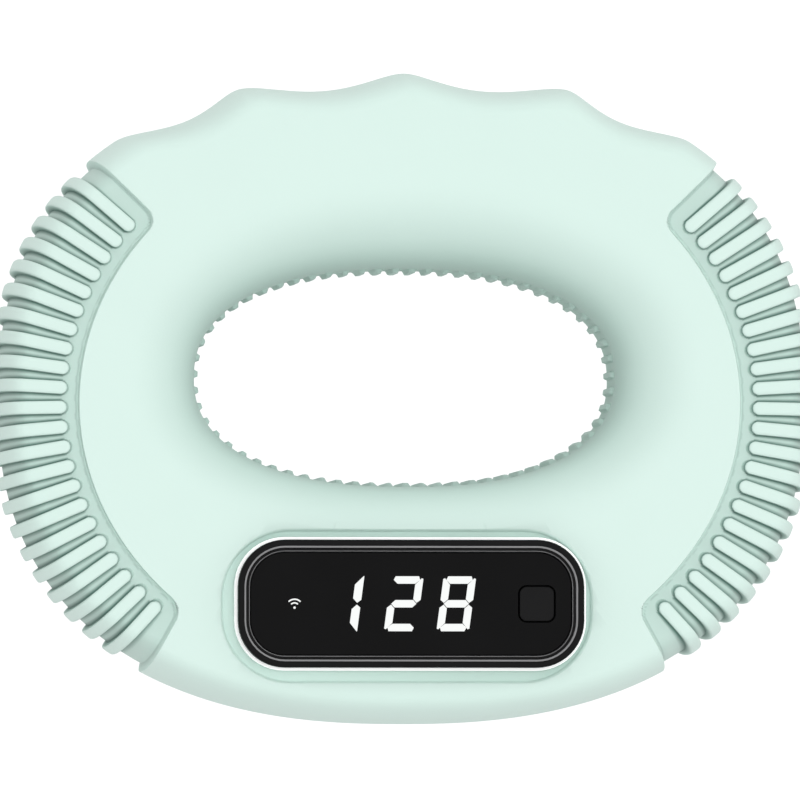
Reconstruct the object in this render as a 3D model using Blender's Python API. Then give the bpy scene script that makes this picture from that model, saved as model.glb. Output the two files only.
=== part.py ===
"""Hand dynamometer in the form of a grip ring: an oval silicone ring round a spring band, with a
display module in its lower, palm side. It lies on its back, with the display facing +Z and the
finger side towards +Y. Metres throughout.
"""

import math

import bmesh
import bpy
from mathutils import Matrix, Vector

# ---------------------------------------------------------------- driving dimensions
GAP = 0.0003  # clearance between neighbouring solids

WIDTH = 0.0910  # ring, along X
HEIGHT = 0.0720  # ring, along Y
DEPTH = 0.0280  # ring, along Z
OUTLINE_POWER = 2.37  # superellipse exponent of the outline

SIDE_WALL = 0.0226  # hole to outline at each side
PALM_WALL = 0.0263  # hole to outline below the hole
HOLE_HEIGHT = 0.0246
HOLE_POWER = 2.28

CROWN = 0.0030  # plan width of the outer edge's roll-off
CROWN_POWER = 2.3
FILLET = 0.0070  # radius round the hole at the sides and the finger side
PALM_FILLET = 0.0040  # radius round the hole beside the display

GROOVE_DEPTH = 0.00165
GROOVE_PEAKS = (-0.0318, -0.0181, 0.0, 0.0181, 0.0318)  # X of the ridges between the fingers
PEAK_SOFTNESS = 0.25

RIB_COUNT = 22  # on each side
RIB_FIRST = 36.3  # degrees round the rib ellipse
RIB_STEP, RIB_STEP_GROWTH = 3.66, 0.0055  # the pitch widens a little towards the palm
RIB_WIDTH = 0.0015
RIB_HEIGHT = 0.0009
RIB_REACH_X, RIB_REACH_Y = 0.0076, 0.0037  # outline to the ellipse of the ribs' tips
RIB_DROP = 0.0008  # ellipse's centre below the ring's
RECESS_REACH = 0.00125  # ellipse of the ribs' tips to the recess's inner edge
RECESS_TOP, RECESS_TOP_WALL = 40.5, 44.3  # degrees: inner corner, direction of the end wall
RECESS_BOTTOM, RECESS_BOTTOM_WALL = -46.6, -61.0

FINGER_CUT = 43.5  # degrees round the rib ellipse where the finger section ends
RIBS_TO_PALM_CUT = 19  # on each side section, above the cut where the palm section starts
CUT_INSIDE, CUT_REACH = 0.002, 0.6 * WIDTH  # how far a cut runs inside and outside the hole's wall
OVERRUN = WIDTH / 4  # how far the ribs' and recess's tools run past their inner ends

BAND_OFFSET = 0.0028  # hole wall to the spring band
BAND_THICKNESS = 0.0008
BAND_WIDTH = 0.0120

MODULE_EDGE = 0.00605  # bezel to the ring's outline below it
BEZEL_LENGTH, BEZEL_WIDTH, BEZEL_RADIUS = 0.0382, 0.0141, 0.0052
BEZEL_PROUD = 0.0018  # bezel's top above the silicone face
BEZEL_HEIGHT = 0.0012
BEZEL_EDGE = 0.0008  # width of the bezel's raised outer step
BEZEL_STEP = 0.0003
BEZEL_FRAME = 0.0013  # width from the bezel's outside to its opening
TRIM_EDGE = 0.0003  # trim ring seen round the bezel
TRIM_THICKNESS = 0.0010
MOAT_DEPTH = 0.0010
MOAT_MARGIN = 0.00095  # recess in the silicone round the trim ring
MOAT_TAPER = 0.0006  # how much smaller the moat's floor is
MOAT_X, MOAT_DROP = -0.00035, 0.00025  # moat's centre from the bezel's
LENS_THICKNESS = 0.0010
MASK_THICKNESS = 0.0010
CASE_INSET = 0.0006  # case's outside inside the bezel's
CASE_WALL = 0.0012
LIP_HEIGHT, LIP_OUT, LIP_Z = 0.0015, 0.0008, 0.0085  # flange that holds the case in the silicone
DISPLAY_LENGTH, DISPLAY_WIDTH, DISPLAY_HEIGHT = 0.0176, 0.0084, 0.0022
DIGIT_WINDOW_LENGTH, DIGIT_WINDOW_WIDTH = 0.0164, 0.0076
ICON_EDGE = 0.0059  # bezel's end to the icon's centre
PIPE_RADIUS = 0.0009
BUTTON_EDGE = 0.0052  # bezel's end to the key's centre
BUTTON_SIZE, BUTTON_RADIUS = 0.0038, 0.0008
BUTTON_FLANGE = 0.0005  # how far the key's flange reaches past its cap
BUTTON_TRAVEL = 0.00035
SWITCH_SIZE, SWITCH_HEIGHT = 0.0040, 0.0019
PLUNGER_RADIUS = 0.00095
BOARD_THICKNESS = 0.0010
BOARD_MARGIN = 0.0004  # board edge to case wall
POST_RADIUS = 0.0013
POST_PLAY = 0.00055  # post to case wall
BOARD_SCREW_RADIUS, BOARD_SCREW_HEAD, BOARD_SCREW_LENGTH = 0.0005, 0.0010, 0.0030
CHIP_SIZE, CHIP_HEIGHT = 0.0060, 0.0012
AMPLIFIER_SIZE, AMPLIFIER_X = 0.0030, -0.0055
BATTERY_LENGTH, BATTERY_WIDTH, BATTERY_HEIGHT = 0.0234, 0.0088, 0.0062
BATTERY_SHIFT = 0.0002  # towards the palm, to leave the flex its way
TRAY_THICKNESS, TRAY_LIP = 0.0006, 0.0020
SOCKET_LENGTH, SOCKET_WIDTH, SOCKET_DEPTH, SOCKET_WALL = 0.00894, 0.00326, 0.0073, 0.0003
TONGUE_LENGTH, TONGUE_THICKNESS = 0.0067, 0.0007
CHARGE_BOARD_LENGTH, CHARGE_BOARD_WIDTH, CHARGE_BOARD_THICKNESS = 0.0120, 0.0088, 0.0008
COVER_RECESS, COVER_THICKNESS = 0.0004, 0.0016
GASKET_HEIGHT, GASKET_WIDTH = 0.0006, 0.0006
BOSS_RADIUS, BOSS_HEIGHT = 0.0020, 0.0068
COVER_SCREW_RADIUS, COVER_SCREW_HEAD, COVER_SCREW_LENGTH = 0.0008, 0.0015, 0.0060
SCREW_HEAD_HEIGHT = 0.0006
SOCKET_SETBACK = 0.0004  # socket's mouth inside the cover's face
GAUGE_LENGTH, GAUGE_WIDTH, GAUGE_THICKNESS, GAUGE_X = 0.0045, 0.0035, 0.0002, 0.0045
FLEX_THICKNESS, FLEX_HEAD_LENGTH, FLEX_HEAD_WIDTH, FLEX_TAIL_WIDTH = 0.00015, 0.0150, 0.0030, 0.0036
FLEX_SOLDER_LENGTH = 0.0024
BAY_MARGIN = 0.0005

# ---------------------------------------------------------------- derived places
MIDDLE_Z = DEPTH / 2
HOLE_WIDTH = WIDTH - 2 * SIDE_WALL
HOLE_Y = -HEIGHT / 2 + PALM_WALL + HOLE_HEIGHT / 2
RIB_SPAN_X, RIB_SPAN_Y = WIDTH / 2 - RIB_REACH_X, HEIGHT / 2 - RIB_REACH_Y
RECESS_SPAN_X, RECESS_SPAN_Y = RIB_SPAN_X - RECESS_REACH, RIB_SPAN_Y - RECESS_REACH
MODULE_Y = -HEIGHT / 2 + MODULE_EDGE + BEZEL_WIDTH / 2
ICON_X = ICON_EDGE - BEZEL_LENGTH / 2
BUTTON_X = BEZEL_LENGTH / 2 - BUTTON_EDGE
CASE_LENGTH = BEZEL_LENGTH - 2 * CASE_INSET
CASE_WIDTH = BEZEL_WIDTH - 2 * CASE_INSET
CASE_RADIUS = BEZEL_RADIUS - CASE_INSET
INNER_LENGTH = CASE_LENGTH - 2 * CASE_WALL
INNER_WIDTH = CASE_WIDTH - 2 * CASE_WALL
INNER_RADIUS = CASE_RADIUS - CASE_WALL
POST_X = DISPLAY_LENGTH / 2 + POST_RADIUS + GAP / 2
POST_Y = INNER_WIDTH / 2 - POST_RADIUS - POST_PLAY
BOSS_X = INNER_LENGTH / 2 - BOSS_RADIUS
BEZEL_TOP = DEPTH + BEZEL_PROUD
BEZEL_BOTTOM = BEZEL_TOP - BEZEL_HEIGHT
LENS_TOP = BEZEL_TOP - 2 * BEZEL_STEP
LENS_BOTTOM = LENS_TOP - LENS_THICKNESS
MASK_TOP = LENS_BOTTOM - GAP
MASK_BOTTOM = MASK_TOP - MASK_THICKNESS
CASE_TOP = MASK_BOTTOM - GAP
CEILING_Z = CASE_TOP - CASE_WALL
DISPLAY_TOP = CEILING_Z - GAP
BOARD_TOP = DISPLAY_TOP - DISPLAY_HEIGHT - GAP
BOARD_BOTTOM = BOARD_TOP - BOARD_THICKNESS
COVER_TOP = COVER_RECESS + COVER_THICKNESS
GASKET_BOTTOM = COVER_TOP + GAP
CASE_BOTTOM = GASKET_BOTTOM + GASKET_HEIGHT + GAP
SOCKET_MOUTH = COVER_RECESS + SOCKET_SETBACK
CHARGE_BOARD_BOTTOM = SOCKET_MOUTH + SOCKET_DEPTH + GAP
TRAY_BOTTOM = CHARGE_BOARD_BOTTOM + CHARGE_BOARD_THICKNESS + GAP
BATTERY_BOTTOM = TRAY_BOTTOM + TRAY_THICKNESS + GAP
BATTERY_Y = MODULE_Y - BATTERY_SHIFT
BAND_X = HOLE_WIDTH / 2 + BAND_OFFSET
BAND_Y = HOLE_HEIGHT / 2 + BAND_OFFSET
BAND_BOTTOM = HOLE_Y - BAND_Y - BAND_THICKNESS
GAUGE_TOP = BAND_BOTTOM - GAP
FLEX_TOP = GAUGE_TOP - GAUGE_THICKNESS - GAP
FLEX_INNER_Y = MODULE_Y + INNER_WIDTH / 2 - GAP
SOLDER_Z = BOARD_BOTTOM - GAP

ROUNDING_LIMIT = 0.45  # most of the wall's width that one rounding may take
TOP_STEPS, SIDE_STEPS, PALM_STEPS = 40, 12, 20  # loft steps round each section
FILLET_STEPS, CROWN_STEPS = 3, 4  # steps across each rounding
ARC_STEPS = 5  # steps in a quarter of a small round corner


# ---------------------------------------------------------------- materials
def material(name, colour, roughness, metallic=0.0):
    """A plain Principled material; colour is linear RGB."""
    made = bpy.data.materials.get(name) or bpy.data.materials.new(name)
    made.use_nodes = True
    shader = made.node_tree.nodes["Principled BSDF"]
    shader.inputs["Base Color"].default_value = (*colour, 1.0)
    shader.inputs["Roughness"].default_value = roughness
    shader.inputs["Metallic"].default_value = metallic
    return made


def silicone():
    return material("mint_silicone", (0.60, 0.86, 0.77), 0.65)


def spring_steel():
    return material("spring_steel", (0.55, 0.56, 0.58), 0.3, 1.0)


def black_plastic():
    return material("black_plastic", (0.012, 0.012, 0.013), 0.35)


def white_plastic():
    return material("white_plastic", (0.85, 0.86, 0.86), 0.4)


def dark_window():
    return material("dark_window", (0.008, 0.008, 0.009), 0.08)


def circuit_board():
    return material("circuit_board", (0.02, 0.16, 0.07), 0.5)


def amber_film():
    return material("amber_film", (0.75, 0.36, 0.06), 0.4)


def grey_package():
    return material("grey_package", (0.10, 0.10, 0.11), 0.5)


def bright_metal():
    return material("bright_metal", (0.72, 0.72, 0.74), 0.25, 1.0)


def silver_pouch():
    return material("silver_pouch", (0.62, 0.63, 0.66), 0.4, 0.8)


def clear_plastic():
    return material("clear_plastic", (0.80, 0.84, 0.86), 0.1)


def rubber():
    return material("black_rubber", (0.02, 0.02, 0.02), 0.8)


# ---------------------------------------------------------------- meshes
def clear_scene():
    for thing in list(bpy.data.objects):
        bpy.data.objects.remove(thing, do_unlink=True)


def piece(name, bm, look, origin=(0.0, 0.0, 0.0)):
    """Links bm as a named object whose origin is at origin; bm's points are world points."""
    bmesh.ops.recalc_face_normals(bm, faces=bm.faces)
    bmesh.ops.translate(bm, verts=bm.verts, vec=-Vector(origin))
    mesh = bpy.data.meshes.new(name)
    bm.to_mesh(mesh)
    bm.free()
    mesh.materials.append(look)
    mesh.shade_smooth()
    mesh.set_sharp_from_angle(angle=math.radians(35))
    made = bpy.data.objects.new(name, mesh)
    made.location = origin
    bpy.context.scene.collection.objects.link(made)
    return made


def lofted(loops, ring=False):
    """A closed solid through loops of points; a ring joins its last loop to its first."""
    bm = bmesh.new()
    rows = [[bm.verts.new(point) for point in loop] for loop in loops]
    pairs = list(zip(rows, rows[1:] + rows[:1] if ring else rows[1:]))
    for lower, upper in pairs:
        for i in range(len(lower)):
            j = (i + 1) % len(lower)
            bm.faces.new((lower[i], lower[j], upper[j], upper[i]))
    if not ring:
        bm.faces.new(rows[0])
        bm.faces.new(rows[-1])
    return bm


def at_height(outline, z):
    return [(x, y, z) for x, y in outline]


def prism(outline, bottom, top):
    return lofted([at_height(outline, bottom), at_height(outline, top)])


def frame(outer, inner, bottom, top):
    """A flat ring between two outlines with equally many points."""
    loops = [(outer, bottom), (outer, top), (inner, top), (inner, bottom)]
    return lofted([at_height(outline, z) for outline, z in loops], ring=True)


def rounded(corners, radius, steps=ARC_STEPS):
    """The polygon with each corner turned into an arc-like curve that starts radius away."""
    points = []
    for i, corner in enumerate(corners):
        corner = Vector(corner)
        back = (Vector(corners[i - 1]) - corner).normalized() * radius
        ahead = (Vector(corners[(i + 1) % len(corners)]) - corner).normalized() * radius
        centre = corner + back + ahead
        for k in range(steps + 1):
            turn = math.pi / 2 * k / steps
            points.append(tuple(centre - ahead * math.cos(turn) - back * math.sin(turn)))
    return points


def rounded_box(length, width, radius, x=0.0, y=MODULE_Y):
    a, b = length / 2, width / 2
    corners = [(x - a, y - b), (x + a, y - b), (x + a, y + b), (x - a, y + b)]
    return rounded(corners, radius)


def rectangle(length, width, x=0.0, y=MODULE_Y):
    a, b = length / 2, width / 2
    return [(x - a, y - b), (x + a, y - b), (x + a, y + b), (x - a, y + b)]


def circle(radius, x, y=MODULE_Y, steps=20):
    turns = [2 * math.pi * k / steps for k in range(steps)]
    return [(x + radius * math.cos(t), y + radius * math.sin(t)) for t in turns]


def block(x0, x1, y0, y1, z0, z1):
    return prism([(x0, y0), (x1, y0), (x1, y1), (x0, y1)], z0, z1)


def combine(target, tool_bm, operation="DIFFERENCE"):
    """Applies one Boolean with the tool's mesh and throws the tool away."""
    tool = piece("tool", tool_bm, target.data.materials[0])
    tool.hide_render = True
    tool.display_type = "WIRE"
    modifier = target.modifiers.new("boolean", "BOOLEAN")
    modifier.operation = operation
    modifier.object = tool
    graph = bpy.context.evaluated_depsgraph_get()
    graph.update()
    mesh = bpy.data.meshes.new_from_object(target.evaluated_get(graph))
    mesh.name = target.name
    target.modifiers.clear()
    target.data = mesh
    bpy.data.objects.remove(tool, do_unlink=True)


def bevelled(thing, width, segments=1):
    modifier = thing.modifiers.new("edges", "BEVEL")
    modifier.width = width
    modifier.segments = segments
    modifier.limit_method = "ANGLE"
    modifier.angle_limit = math.radians(50)
    return thing


# ---------------------------------------------------------------- the ring's shape
def power_level(x, y, a, b, power):
    """Negative inside the superellipse, positive outside it."""
    return (abs(x) / a) ** power + (abs(y) / b) ** power - 1


def rib_angle(k):
    """Where rib k, or a place between two ribs, stands on the ribs' ellipse, in degrees."""
    return RIB_FIRST - RIB_STEP * k - RIB_STEP_GROWTH * k * k


PALM_CUT = rib_angle(RIBS_TO_PALM_CUT - 0.5)  # between two ribs, where the palm section ends


def rib_line(degrees):
    """The point and outward unit normal at an angle of the ribs' ellipse."""
    t = math.radians(degrees)
    point = Vector((RIB_SPAN_X * math.cos(t), RIB_SPAN_Y * math.sin(t) - RIB_DROP))
    normal = Vector((RIB_SPAN_Y * math.cos(t), RIB_SPAN_X * math.sin(t))).normalized()
    return point, normal


def crossing(point, direction, level, near, far):
    """How far along direction the level turns from negative at near to positive at far."""
    for _ in range(50):
        middle = (near + far) / 2
        spot = point + direction * middle
        if level(spot.x, spot.y) < 0:
            near = middle
        else:
            far = middle
    return (near + far) / 2


def outline_level(x, y):
    return power_level(x, y, WIDTH / 2, HEIGHT / 2, OUTLINE_POWER)


def hole_level(x, y):
    return power_level(x, y - HOLE_Y, HOLE_WIDTH / 2, HOLE_HEIGHT / 2, HOLE_POWER)


def groove_at(x, y):
    """Depth of the finger grooves: soft ridges at the peaks with round hollows between."""
    if y < 0:
        return 0.0
    for left, right in zip(GROOVE_PEAKS, GROOVE_PEAKS[1:]):
        if left < x < right:
            wave = math.sin(math.pi * (x - left) / (right - left))
            soft = PEAK_SOFTNESS
            swell = math.sqrt(wave * wave + soft * soft) - soft
            return GROOVE_DEPTH * swell / (math.sqrt(1 + soft * soft) - soft)
    return 0.0


def section_at(degrees):
    """Inner point, outward direction and width of the ring's wall along one rib line."""
    point, normal = rib_line(degrees)
    inner = crossing(point, normal, hole_level, -0.9 * RIB_SPAN_Y, 0.0)
    outer = crossing(point, normal, outline_level, 0.0, WIDTH)
    edge = point + normal * outer
    outer -= groove_at(edge.x, edge.y)
    return point + normal * inner, normal, outer - inner


def fillet_at(degrees):
    """The hole's fillet, smaller beside the display."""
    down = max(0.0, -math.sin(math.radians(degrees)))
    blend = down * down * (3 - 2 * down)
    return FILLET + (PALM_FILLET - FILLET) * blend


def wall_profile(width, fillet):
    """(distance from the hole, height) round the wall's section, front half then back half."""
    half = MIDDLE_Z
    fillet = min(fillet, ROUNDING_LIMIT * width)
    crown = min(CROWN, ROUNDING_LIMIT * width)
    front = []
    for k in range(FILLET_STEPS, -1, -1):
        turn = math.pi / 2 * k / FILLET_STEPS
        front.append((fillet * (1 - math.sin(turn)), half - fillet * (1 - math.cos(turn))))
    for k in range(CROWN_STEPS):
        turn = math.pi / 2 * k / CROWN_STEPS
        along = math.sin(turn) ** (2 / CROWN_POWER)
        up = math.cos(turn) ** (2 / CROWN_POWER)
        front.append((width - crown * (1 - along), half * up))
    front.append((width, 0.0))
    back = [(s, -z) for s, z in reversed(front[:-1])]
    return [(s, MIDDLE_Z + z) for s, z in front + back]


def loft_angles():
    """Angles of the loft's steps, finer over the finger grooves."""
    marks = [FINGER_CUT, 180 - FINGER_CUT, 180 - PALM_CUT, 360 + PALM_CUT, 360 + FINGER_CUT]
    counts = [TOP_STEPS, SIDE_STEPS, PALM_STEPS, SIDE_STEPS]
    angles = []
    for start, end, count in zip(marks, marks[1:], counts):
        angles += [start + (end - start) * k / count for k in range(count)]
    return angles


def ring_mesh(inset=0.0):
    """The whole ring; an inset version lies that far below its surface."""
    loops = []
    for degrees in loft_angles():
        inner, normal, width = section_at(degrees)
        fillet = fillet_at(degrees)
        squeeze = (width - 2 * inset) / width
        flatten = (MIDDLE_Z - inset) / MIDDLE_Z
        loop = []
        for s, z in wall_profile(width, fillet):
            spot = inner + normal * (inset + s * squeeze)
            loop.append((spot.x, spot.y, MIDDLE_Z + (z - MIDDLE_Z) * flatten))
        loops.append(loop)
    return lofted(loops, ring=True)


def mirrored(outline, side):
    """The outline on the side given by +1 or -1, still running the same way round."""
    points = [(side * x, y) for x, y in outline]
    return points if side > 0 else points[::-1]


def direction(degrees):
    t = math.radians(degrees)
    return Vector((math.cos(t), math.sin(t)))


def on_recess_edge(degrees):
    t = math.radians(degrees)
    return Vector((RECESS_SPAN_X * math.cos(t), RECESS_SPAN_Y * math.sin(t) - RIB_DROP))


def recess_outline(side):
    """The plan of one side's ribbed recess, run out past the ring's outline."""
    steps = 24
    bottom, top = on_recess_edge(RECESS_BOTTOM), on_recess_edge(RECESS_TOP)
    far = [bottom + direction(RECESS_BOTTOM_WALL) * OVERRUN,
           top + direction(RECESS_TOP_WALL) * OVERRUN]
    corner = Vector((WIDTH, (far[0].y + far[1].y) / 2))
    arc = [RECESS_TOP + (RECESS_BOTTOM - RECESS_TOP) * k / steps for k in range(steps + 1)]
    points = [far[0], corner, far[1]] + [on_recess_edge(degrees) for degrees in arc]
    return mirrored([tuple(point) for point in points], side)


def rib_outline(degrees, side):
    """One rib's plan: a bar with a round inner tip, run out past the ring's outline."""
    tip, normal = rib_line(degrees)
    across = Vector((-normal.y, normal.x)) * RIB_WIDTH / 2
    centre = tip + normal * RIB_WIDTH / 2
    end = tip + normal * OVERRUN
    points = [end - across, end + across]
    for k in range(7):
        turn = math.pi * k / 6
        points.append(centre + across * math.cos(turn) - normal * RIB_WIDTH / 2 * math.sin(turn))
    return mirrored([tuple(point) for point in points], side)


def prisms(outlines, bottom, top):
    """Several prisms in one mesh, for use as a Boolean tool."""
    bm = bmesh.new()
    for outline in outlines:
        lower = [bm.verts.new((x, y, bottom)) for x, y in outline]
        upper = [bm.verts.new((x, y, top)) for x, y in outline]
        for i in range(len(lower)):
            j = (i + 1) % len(lower)
            bm.faces.new((lower[i], lower[j], upper[j], upper[i]))
        bm.faces.new(lower)
        bm.faces.new(upper)
    return bm


def groove_tool():
    """What is taken off the ring between the ribs, before the recess's floor goes in."""
    tool = piece("recess_tool", prisms([recess_outline(1), recess_outline(-1)], -GAP, DEPTH + GAP),
                 silicone())
    angles = [rib_angle(k) for k in range(RIB_COUNT)]
    ribs = [rib_outline(degrees, side) for side in (1, -1) for degrees in angles]
    combine(tool, prisms(ribs, -2 * GAP, DEPTH + 2 * GAP))
    bm = bmesh.new()
    bm.from_mesh(tool.data)
    bpy.data.objects.remove(tool, do_unlink=True)
    return bm


def oval(half_x, half_y, steps=72):
    """A superellipse round the hole's centre, with the hole's exponent."""
    points = []
    for k in range(steps):
        t = 2 * math.pi * k / steps
        cos, sin = math.cos(t), math.sin(t)
        x = half_x * math.copysign(abs(cos) ** (2 / HOLE_POWER), cos)
        y = half_y * math.copysign(abs(sin) ** (2 / HOLE_POWER), sin)
        points.append((x, HOLE_Y + y))
    return points


def whole_ring():
    """The silicone in one piece: ribs, band channel, module pocket and gauge bay."""
    ring = piece("ring", ring_mesh(), silicone())
    combine(ring, groove_tool())
    combine(ring, ring_mesh(RIB_HEIGHT), "UNION")
    half = BAND_WIDTH / 2 + GAP
    inside = oval(BAND_X - GAP, BAND_Y - GAP)
    outside = oval(BAND_X + BAND_THICKNESS + GAP, BAND_Y + BAND_THICKNESS + GAP)
    combine(ring, frame(outside, inside, MIDDLE_Z - half, MIDDLE_Z + half))
    moat_length = BEZEL_LENGTH + 2 * (TRIM_EDGE + MOAT_MARGIN)
    moat_width = BEZEL_WIDTH + 2 * (TRIM_EDGE + MOAT_MARGIN)
    moat_radius = BEZEL_RADIUS + TRIM_EDGE + MOAT_MARGIN
    floor = DEPTH - MOAT_DEPTH
    moat_y = MODULE_Y - MOAT_DROP
    rim = rounded_box(moat_length, moat_width, moat_radius, MOAT_X, moat_y)
    moat = [
        at_height(rounded_box(moat_length - MOAT_TAPER, moat_width - MOAT_TAPER, moat_radius,
                              MOAT_X, moat_y), floor),
        at_height(rim, DEPTH),
        at_height(rim, DEPTH + 2 * GAP),
    ]
    combine(ring, lofted(moat))
    pocket = rounded_box(CASE_LENGTH + 2 * GAP, CASE_WIDTH + 2 * GAP, CASE_RADIUS + GAP)
    out = 2 * (LIP_OUT + GAP)
    lip = rounded_box(CASE_LENGTH + out, CASE_WIDTH + out, CASE_RADIUS + LIP_OUT + GAP)
    loops = [(pocket, -GAP), (pocket, LIP_Z - GAP), (lip, LIP_Z - GAP),
             (lip, LIP_Z + LIP_HEIGHT + GAP), (pocket, LIP_Z + LIP_HEIGHT + GAP),
             (pocket, DEPTH + GAP)]
    combine(ring, lofted([at_height(outline, z) for outline, z in loops]))
    bay_half = FLEX_HEAD_LENGTH / 2 + BAY_MARGIN
    bay_deep = FLEX_HEAD_WIDTH / 2 + BAY_MARGIN
    combine(ring, block(-bay_half, bay_half, FLEX_TOP - FLEX_THICKNESS - GAP, BAND_BOTTOM + GAP,
                        MIDDLE_Z - bay_deep, MIDDLE_Z + bay_deep))
    combine(ring, flex_slot())
    return ring


def flex_slot():
    """The way for the flex tail from the gauge bay into the case."""
    half = FLEX_TAIL_WIDTH / 2 + GAP
    high = FLEX_THICKNESS / 2 + GAP
    return block(-half, half, MODULE_Y + INNER_WIDTH / 2 - GAP, FLEX_TOP,
                 MIDDLE_Z - high, MIDDLE_Z + high)


def section_outline(start, end):
    """The plan region between two rib lines, half a gap inside each of them."""
    sides = []
    for degrees, turn in ((start, 1), (end, -1)):
        inner, normal, _ = section_at(degrees)
        inside = Vector((-normal.y, normal.x)) * turn * GAP / 2
        sides.append((inner - normal * CUT_INSIDE + inside, inner + normal * CUT_REACH + inside))
    (near_a, far_a), (near_b, far_b) = sides
    return [tuple(point) for point in (near_a, far_a, far_b, near_b)]


def grip_sections():
    """The ring cut into the pieces that move apart, with the finger section on its slide."""
    ring = whole_ring()
    parts = [
        ("finger_grip", FINGER_CUT, 180 - FINGER_CUT, (0.0, HEIGHT / 2, MIDDLE_Z)),
        ("left_side_grip", 180 - FINGER_CUT, 180 - PALM_CUT, (-WIDTH / 2, 0.0, MIDDLE_Z)),
        ("palm_grip", 180 - PALM_CUT, 360 + PALM_CUT, (0.0, -HEIGHT / 2, MIDDLE_Z)),
        ("right_side_grip", PALM_CUT, FINGER_CUT, (WIDTH / 2, 0.0, MIDDLE_Z)),
    ]
    for name, start, end, origin in parts:
        bm = bmesh.new()
        bm.from_mesh(ring.data)
        section = piece(name, bm, silicone())
        combine(section, prism(section_outline(start, end), -GAP, DEPTH + GAP), "INTERSECT")
        section.data.transform(Matrix.Translation(-Vector(origin)))
        section.location = origin
    bpy.data.objects.remove(ring, do_unlink=True)


# ---------------------------------------------------------------- inside the ring
def spring_band():
    """The closed oval band that gives the ring its resistance."""
    inside = oval(BAND_X, BAND_Y)
    outside = oval(BAND_X + BAND_THICKNESS, BAND_Y + BAND_THICKNESS)
    half = BAND_WIDTH / 2
    piece("spring_band", frame(outside, inside, MIDDLE_Z - half, MIDDLE_Z + half), spring_steel(),
          (0.0, HOLE_Y, MIDDLE_Z))


def strain_gauges():
    for name, x in (("strain_gauge_left", -GAUGE_X), ("strain_gauge_right", GAUGE_X)):
        a, b = GAUGE_LENGTH / 2, GAUGE_WIDTH / 2
        piece(name, block(x - a, x + a, GAUGE_TOP - GAUGE_THICKNESS, GAUGE_TOP,
                          MIDDLE_Z - b, MIDDLE_Z + b), amber_film())


def gauge_flex():
    """One flexible circuit: a head behind both gauges and a tail into the case."""
    head, tail = FLEX_HEAD_LENGTH / 2, FLEX_TAIL_WIDTH / 2
    thick = FLEX_THICKNESS
    flex = piece("gauge_flex", block(-head, head, FLEX_TOP - thick, FLEX_TOP,
                                     MIDDLE_Z - FLEX_HEAD_WIDTH / 2, MIDDLE_Z + FLEX_HEAD_WIDTH / 2),
                 amber_film())
    combine(flex, block(-tail, tail, FLEX_INNER_Y - thick, FLEX_TOP - thick / 2,
                        MIDDLE_Z - thick / 2, MIDDLE_Z + thick / 2), "UNION")
    combine(flex, block(-tail + GAP, tail - GAP, FLEX_INNER_Y - thick, FLEX_INNER_Y,
                        MIDDLE_Z - thick / 4, SOLDER_Z), "UNION")
    combine(flex, block(-tail + 2 * GAP, tail - 2 * GAP, FLEX_INNER_Y - FLEX_SOLDER_LENGTH,
                        FLEX_INNER_Y - thick / 2, SOLDER_Z - thick, SOLDER_Z - thick / 4), "UNION")


def module_case():
    """The cup that holds the electronics: open at the back, with windows in its front wall."""
    outer = rounded_box(CASE_LENGTH, CASE_WIDTH, CASE_RADIUS)
    inner = rounded_box(INNER_LENGTH, INNER_WIDTH, INNER_RADIUS)
    lip = rounded_box(CASE_LENGTH + 2 * LIP_OUT, CASE_WIDTH + 2 * LIP_OUT, CASE_RADIUS + LIP_OUT)
    loops = [(inner, CEILING_Z), (inner, CASE_BOTTOM), (outer, CASE_BOTTOM), (outer, LIP_Z),
             (lip, LIP_Z), (lip, LIP_Z + LIP_HEIGHT), (outer, LIP_Z + LIP_HEIGHT),
             (outer, CASE_TOP)]
    case = piece("module_case", lofted([at_height(outline, z) for outline, z in loops]),
                 black_plastic(), (0.0, MODULE_Y, CASE_BOTTOM))
    over, under = CASE_TOP + GAP, CEILING_Z - GAP
    combine(case, prism(rectangle(DIGIT_WINDOW_LENGTH, DIGIT_WINDOW_WIDTH), under, over))
    combine(case, prism(circle(PIPE_RADIUS + GAP, ICON_X), under, over))
    combine(case, prism(rounded_box(*flange_hole(), BUTTON_X), under, over))
    for x in (-POST_X, POST_X):
        for y in (-POST_Y, POST_Y):
            if x * y > 0:
                spot = MODULE_Y + y
                combine(case, prism(circle(POST_RADIUS, x, spot), BOARD_TOP + GAP,
                                    CEILING_Z + CASE_WALL / 2), "UNION")
                combine(case, prism(circle(BOARD_SCREW_RADIUS + GAP, x, spot), BOARD_TOP,
                                    screw_tip() + GAP))
    for side in (-1, 1):
        boss = circle(BOSS_RADIUS, side * BOSS_X)
        web = rectangle(INNER_LENGTH / 2 + CASE_WALL / 2 - BOSS_X, BOSS_RADIUS * 1.5,
                        side * (BOSS_X + INNER_LENGTH / 2 + CASE_WALL / 2) / 2)
        top = CASE_BOTTOM + BOSS_HEIGHT
        combine(case, prism(web, CASE_BOTTOM + GAP, top - GAP), "UNION")
        combine(case, prism(boss, CASE_BOTTOM + GAP / 2, top), "UNION")
        hole = circle(COVER_SCREW_RADIUS + GAP, side * BOSS_X)
        combine(case, prism(hole, CASE_BOTTOM - GAP, cover_screw_tip() + GAP))
    combine(case, flex_slot())


def flange_hole():
    """Length, width and corner radius of the hole that the key's flange drops through."""
    size = BUTTON_SIZE + 2 * (BUTTON_FLANGE + GAP)
    return size, size, BUTTON_RADIUS + BUTTON_FLANGE + GAP


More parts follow.
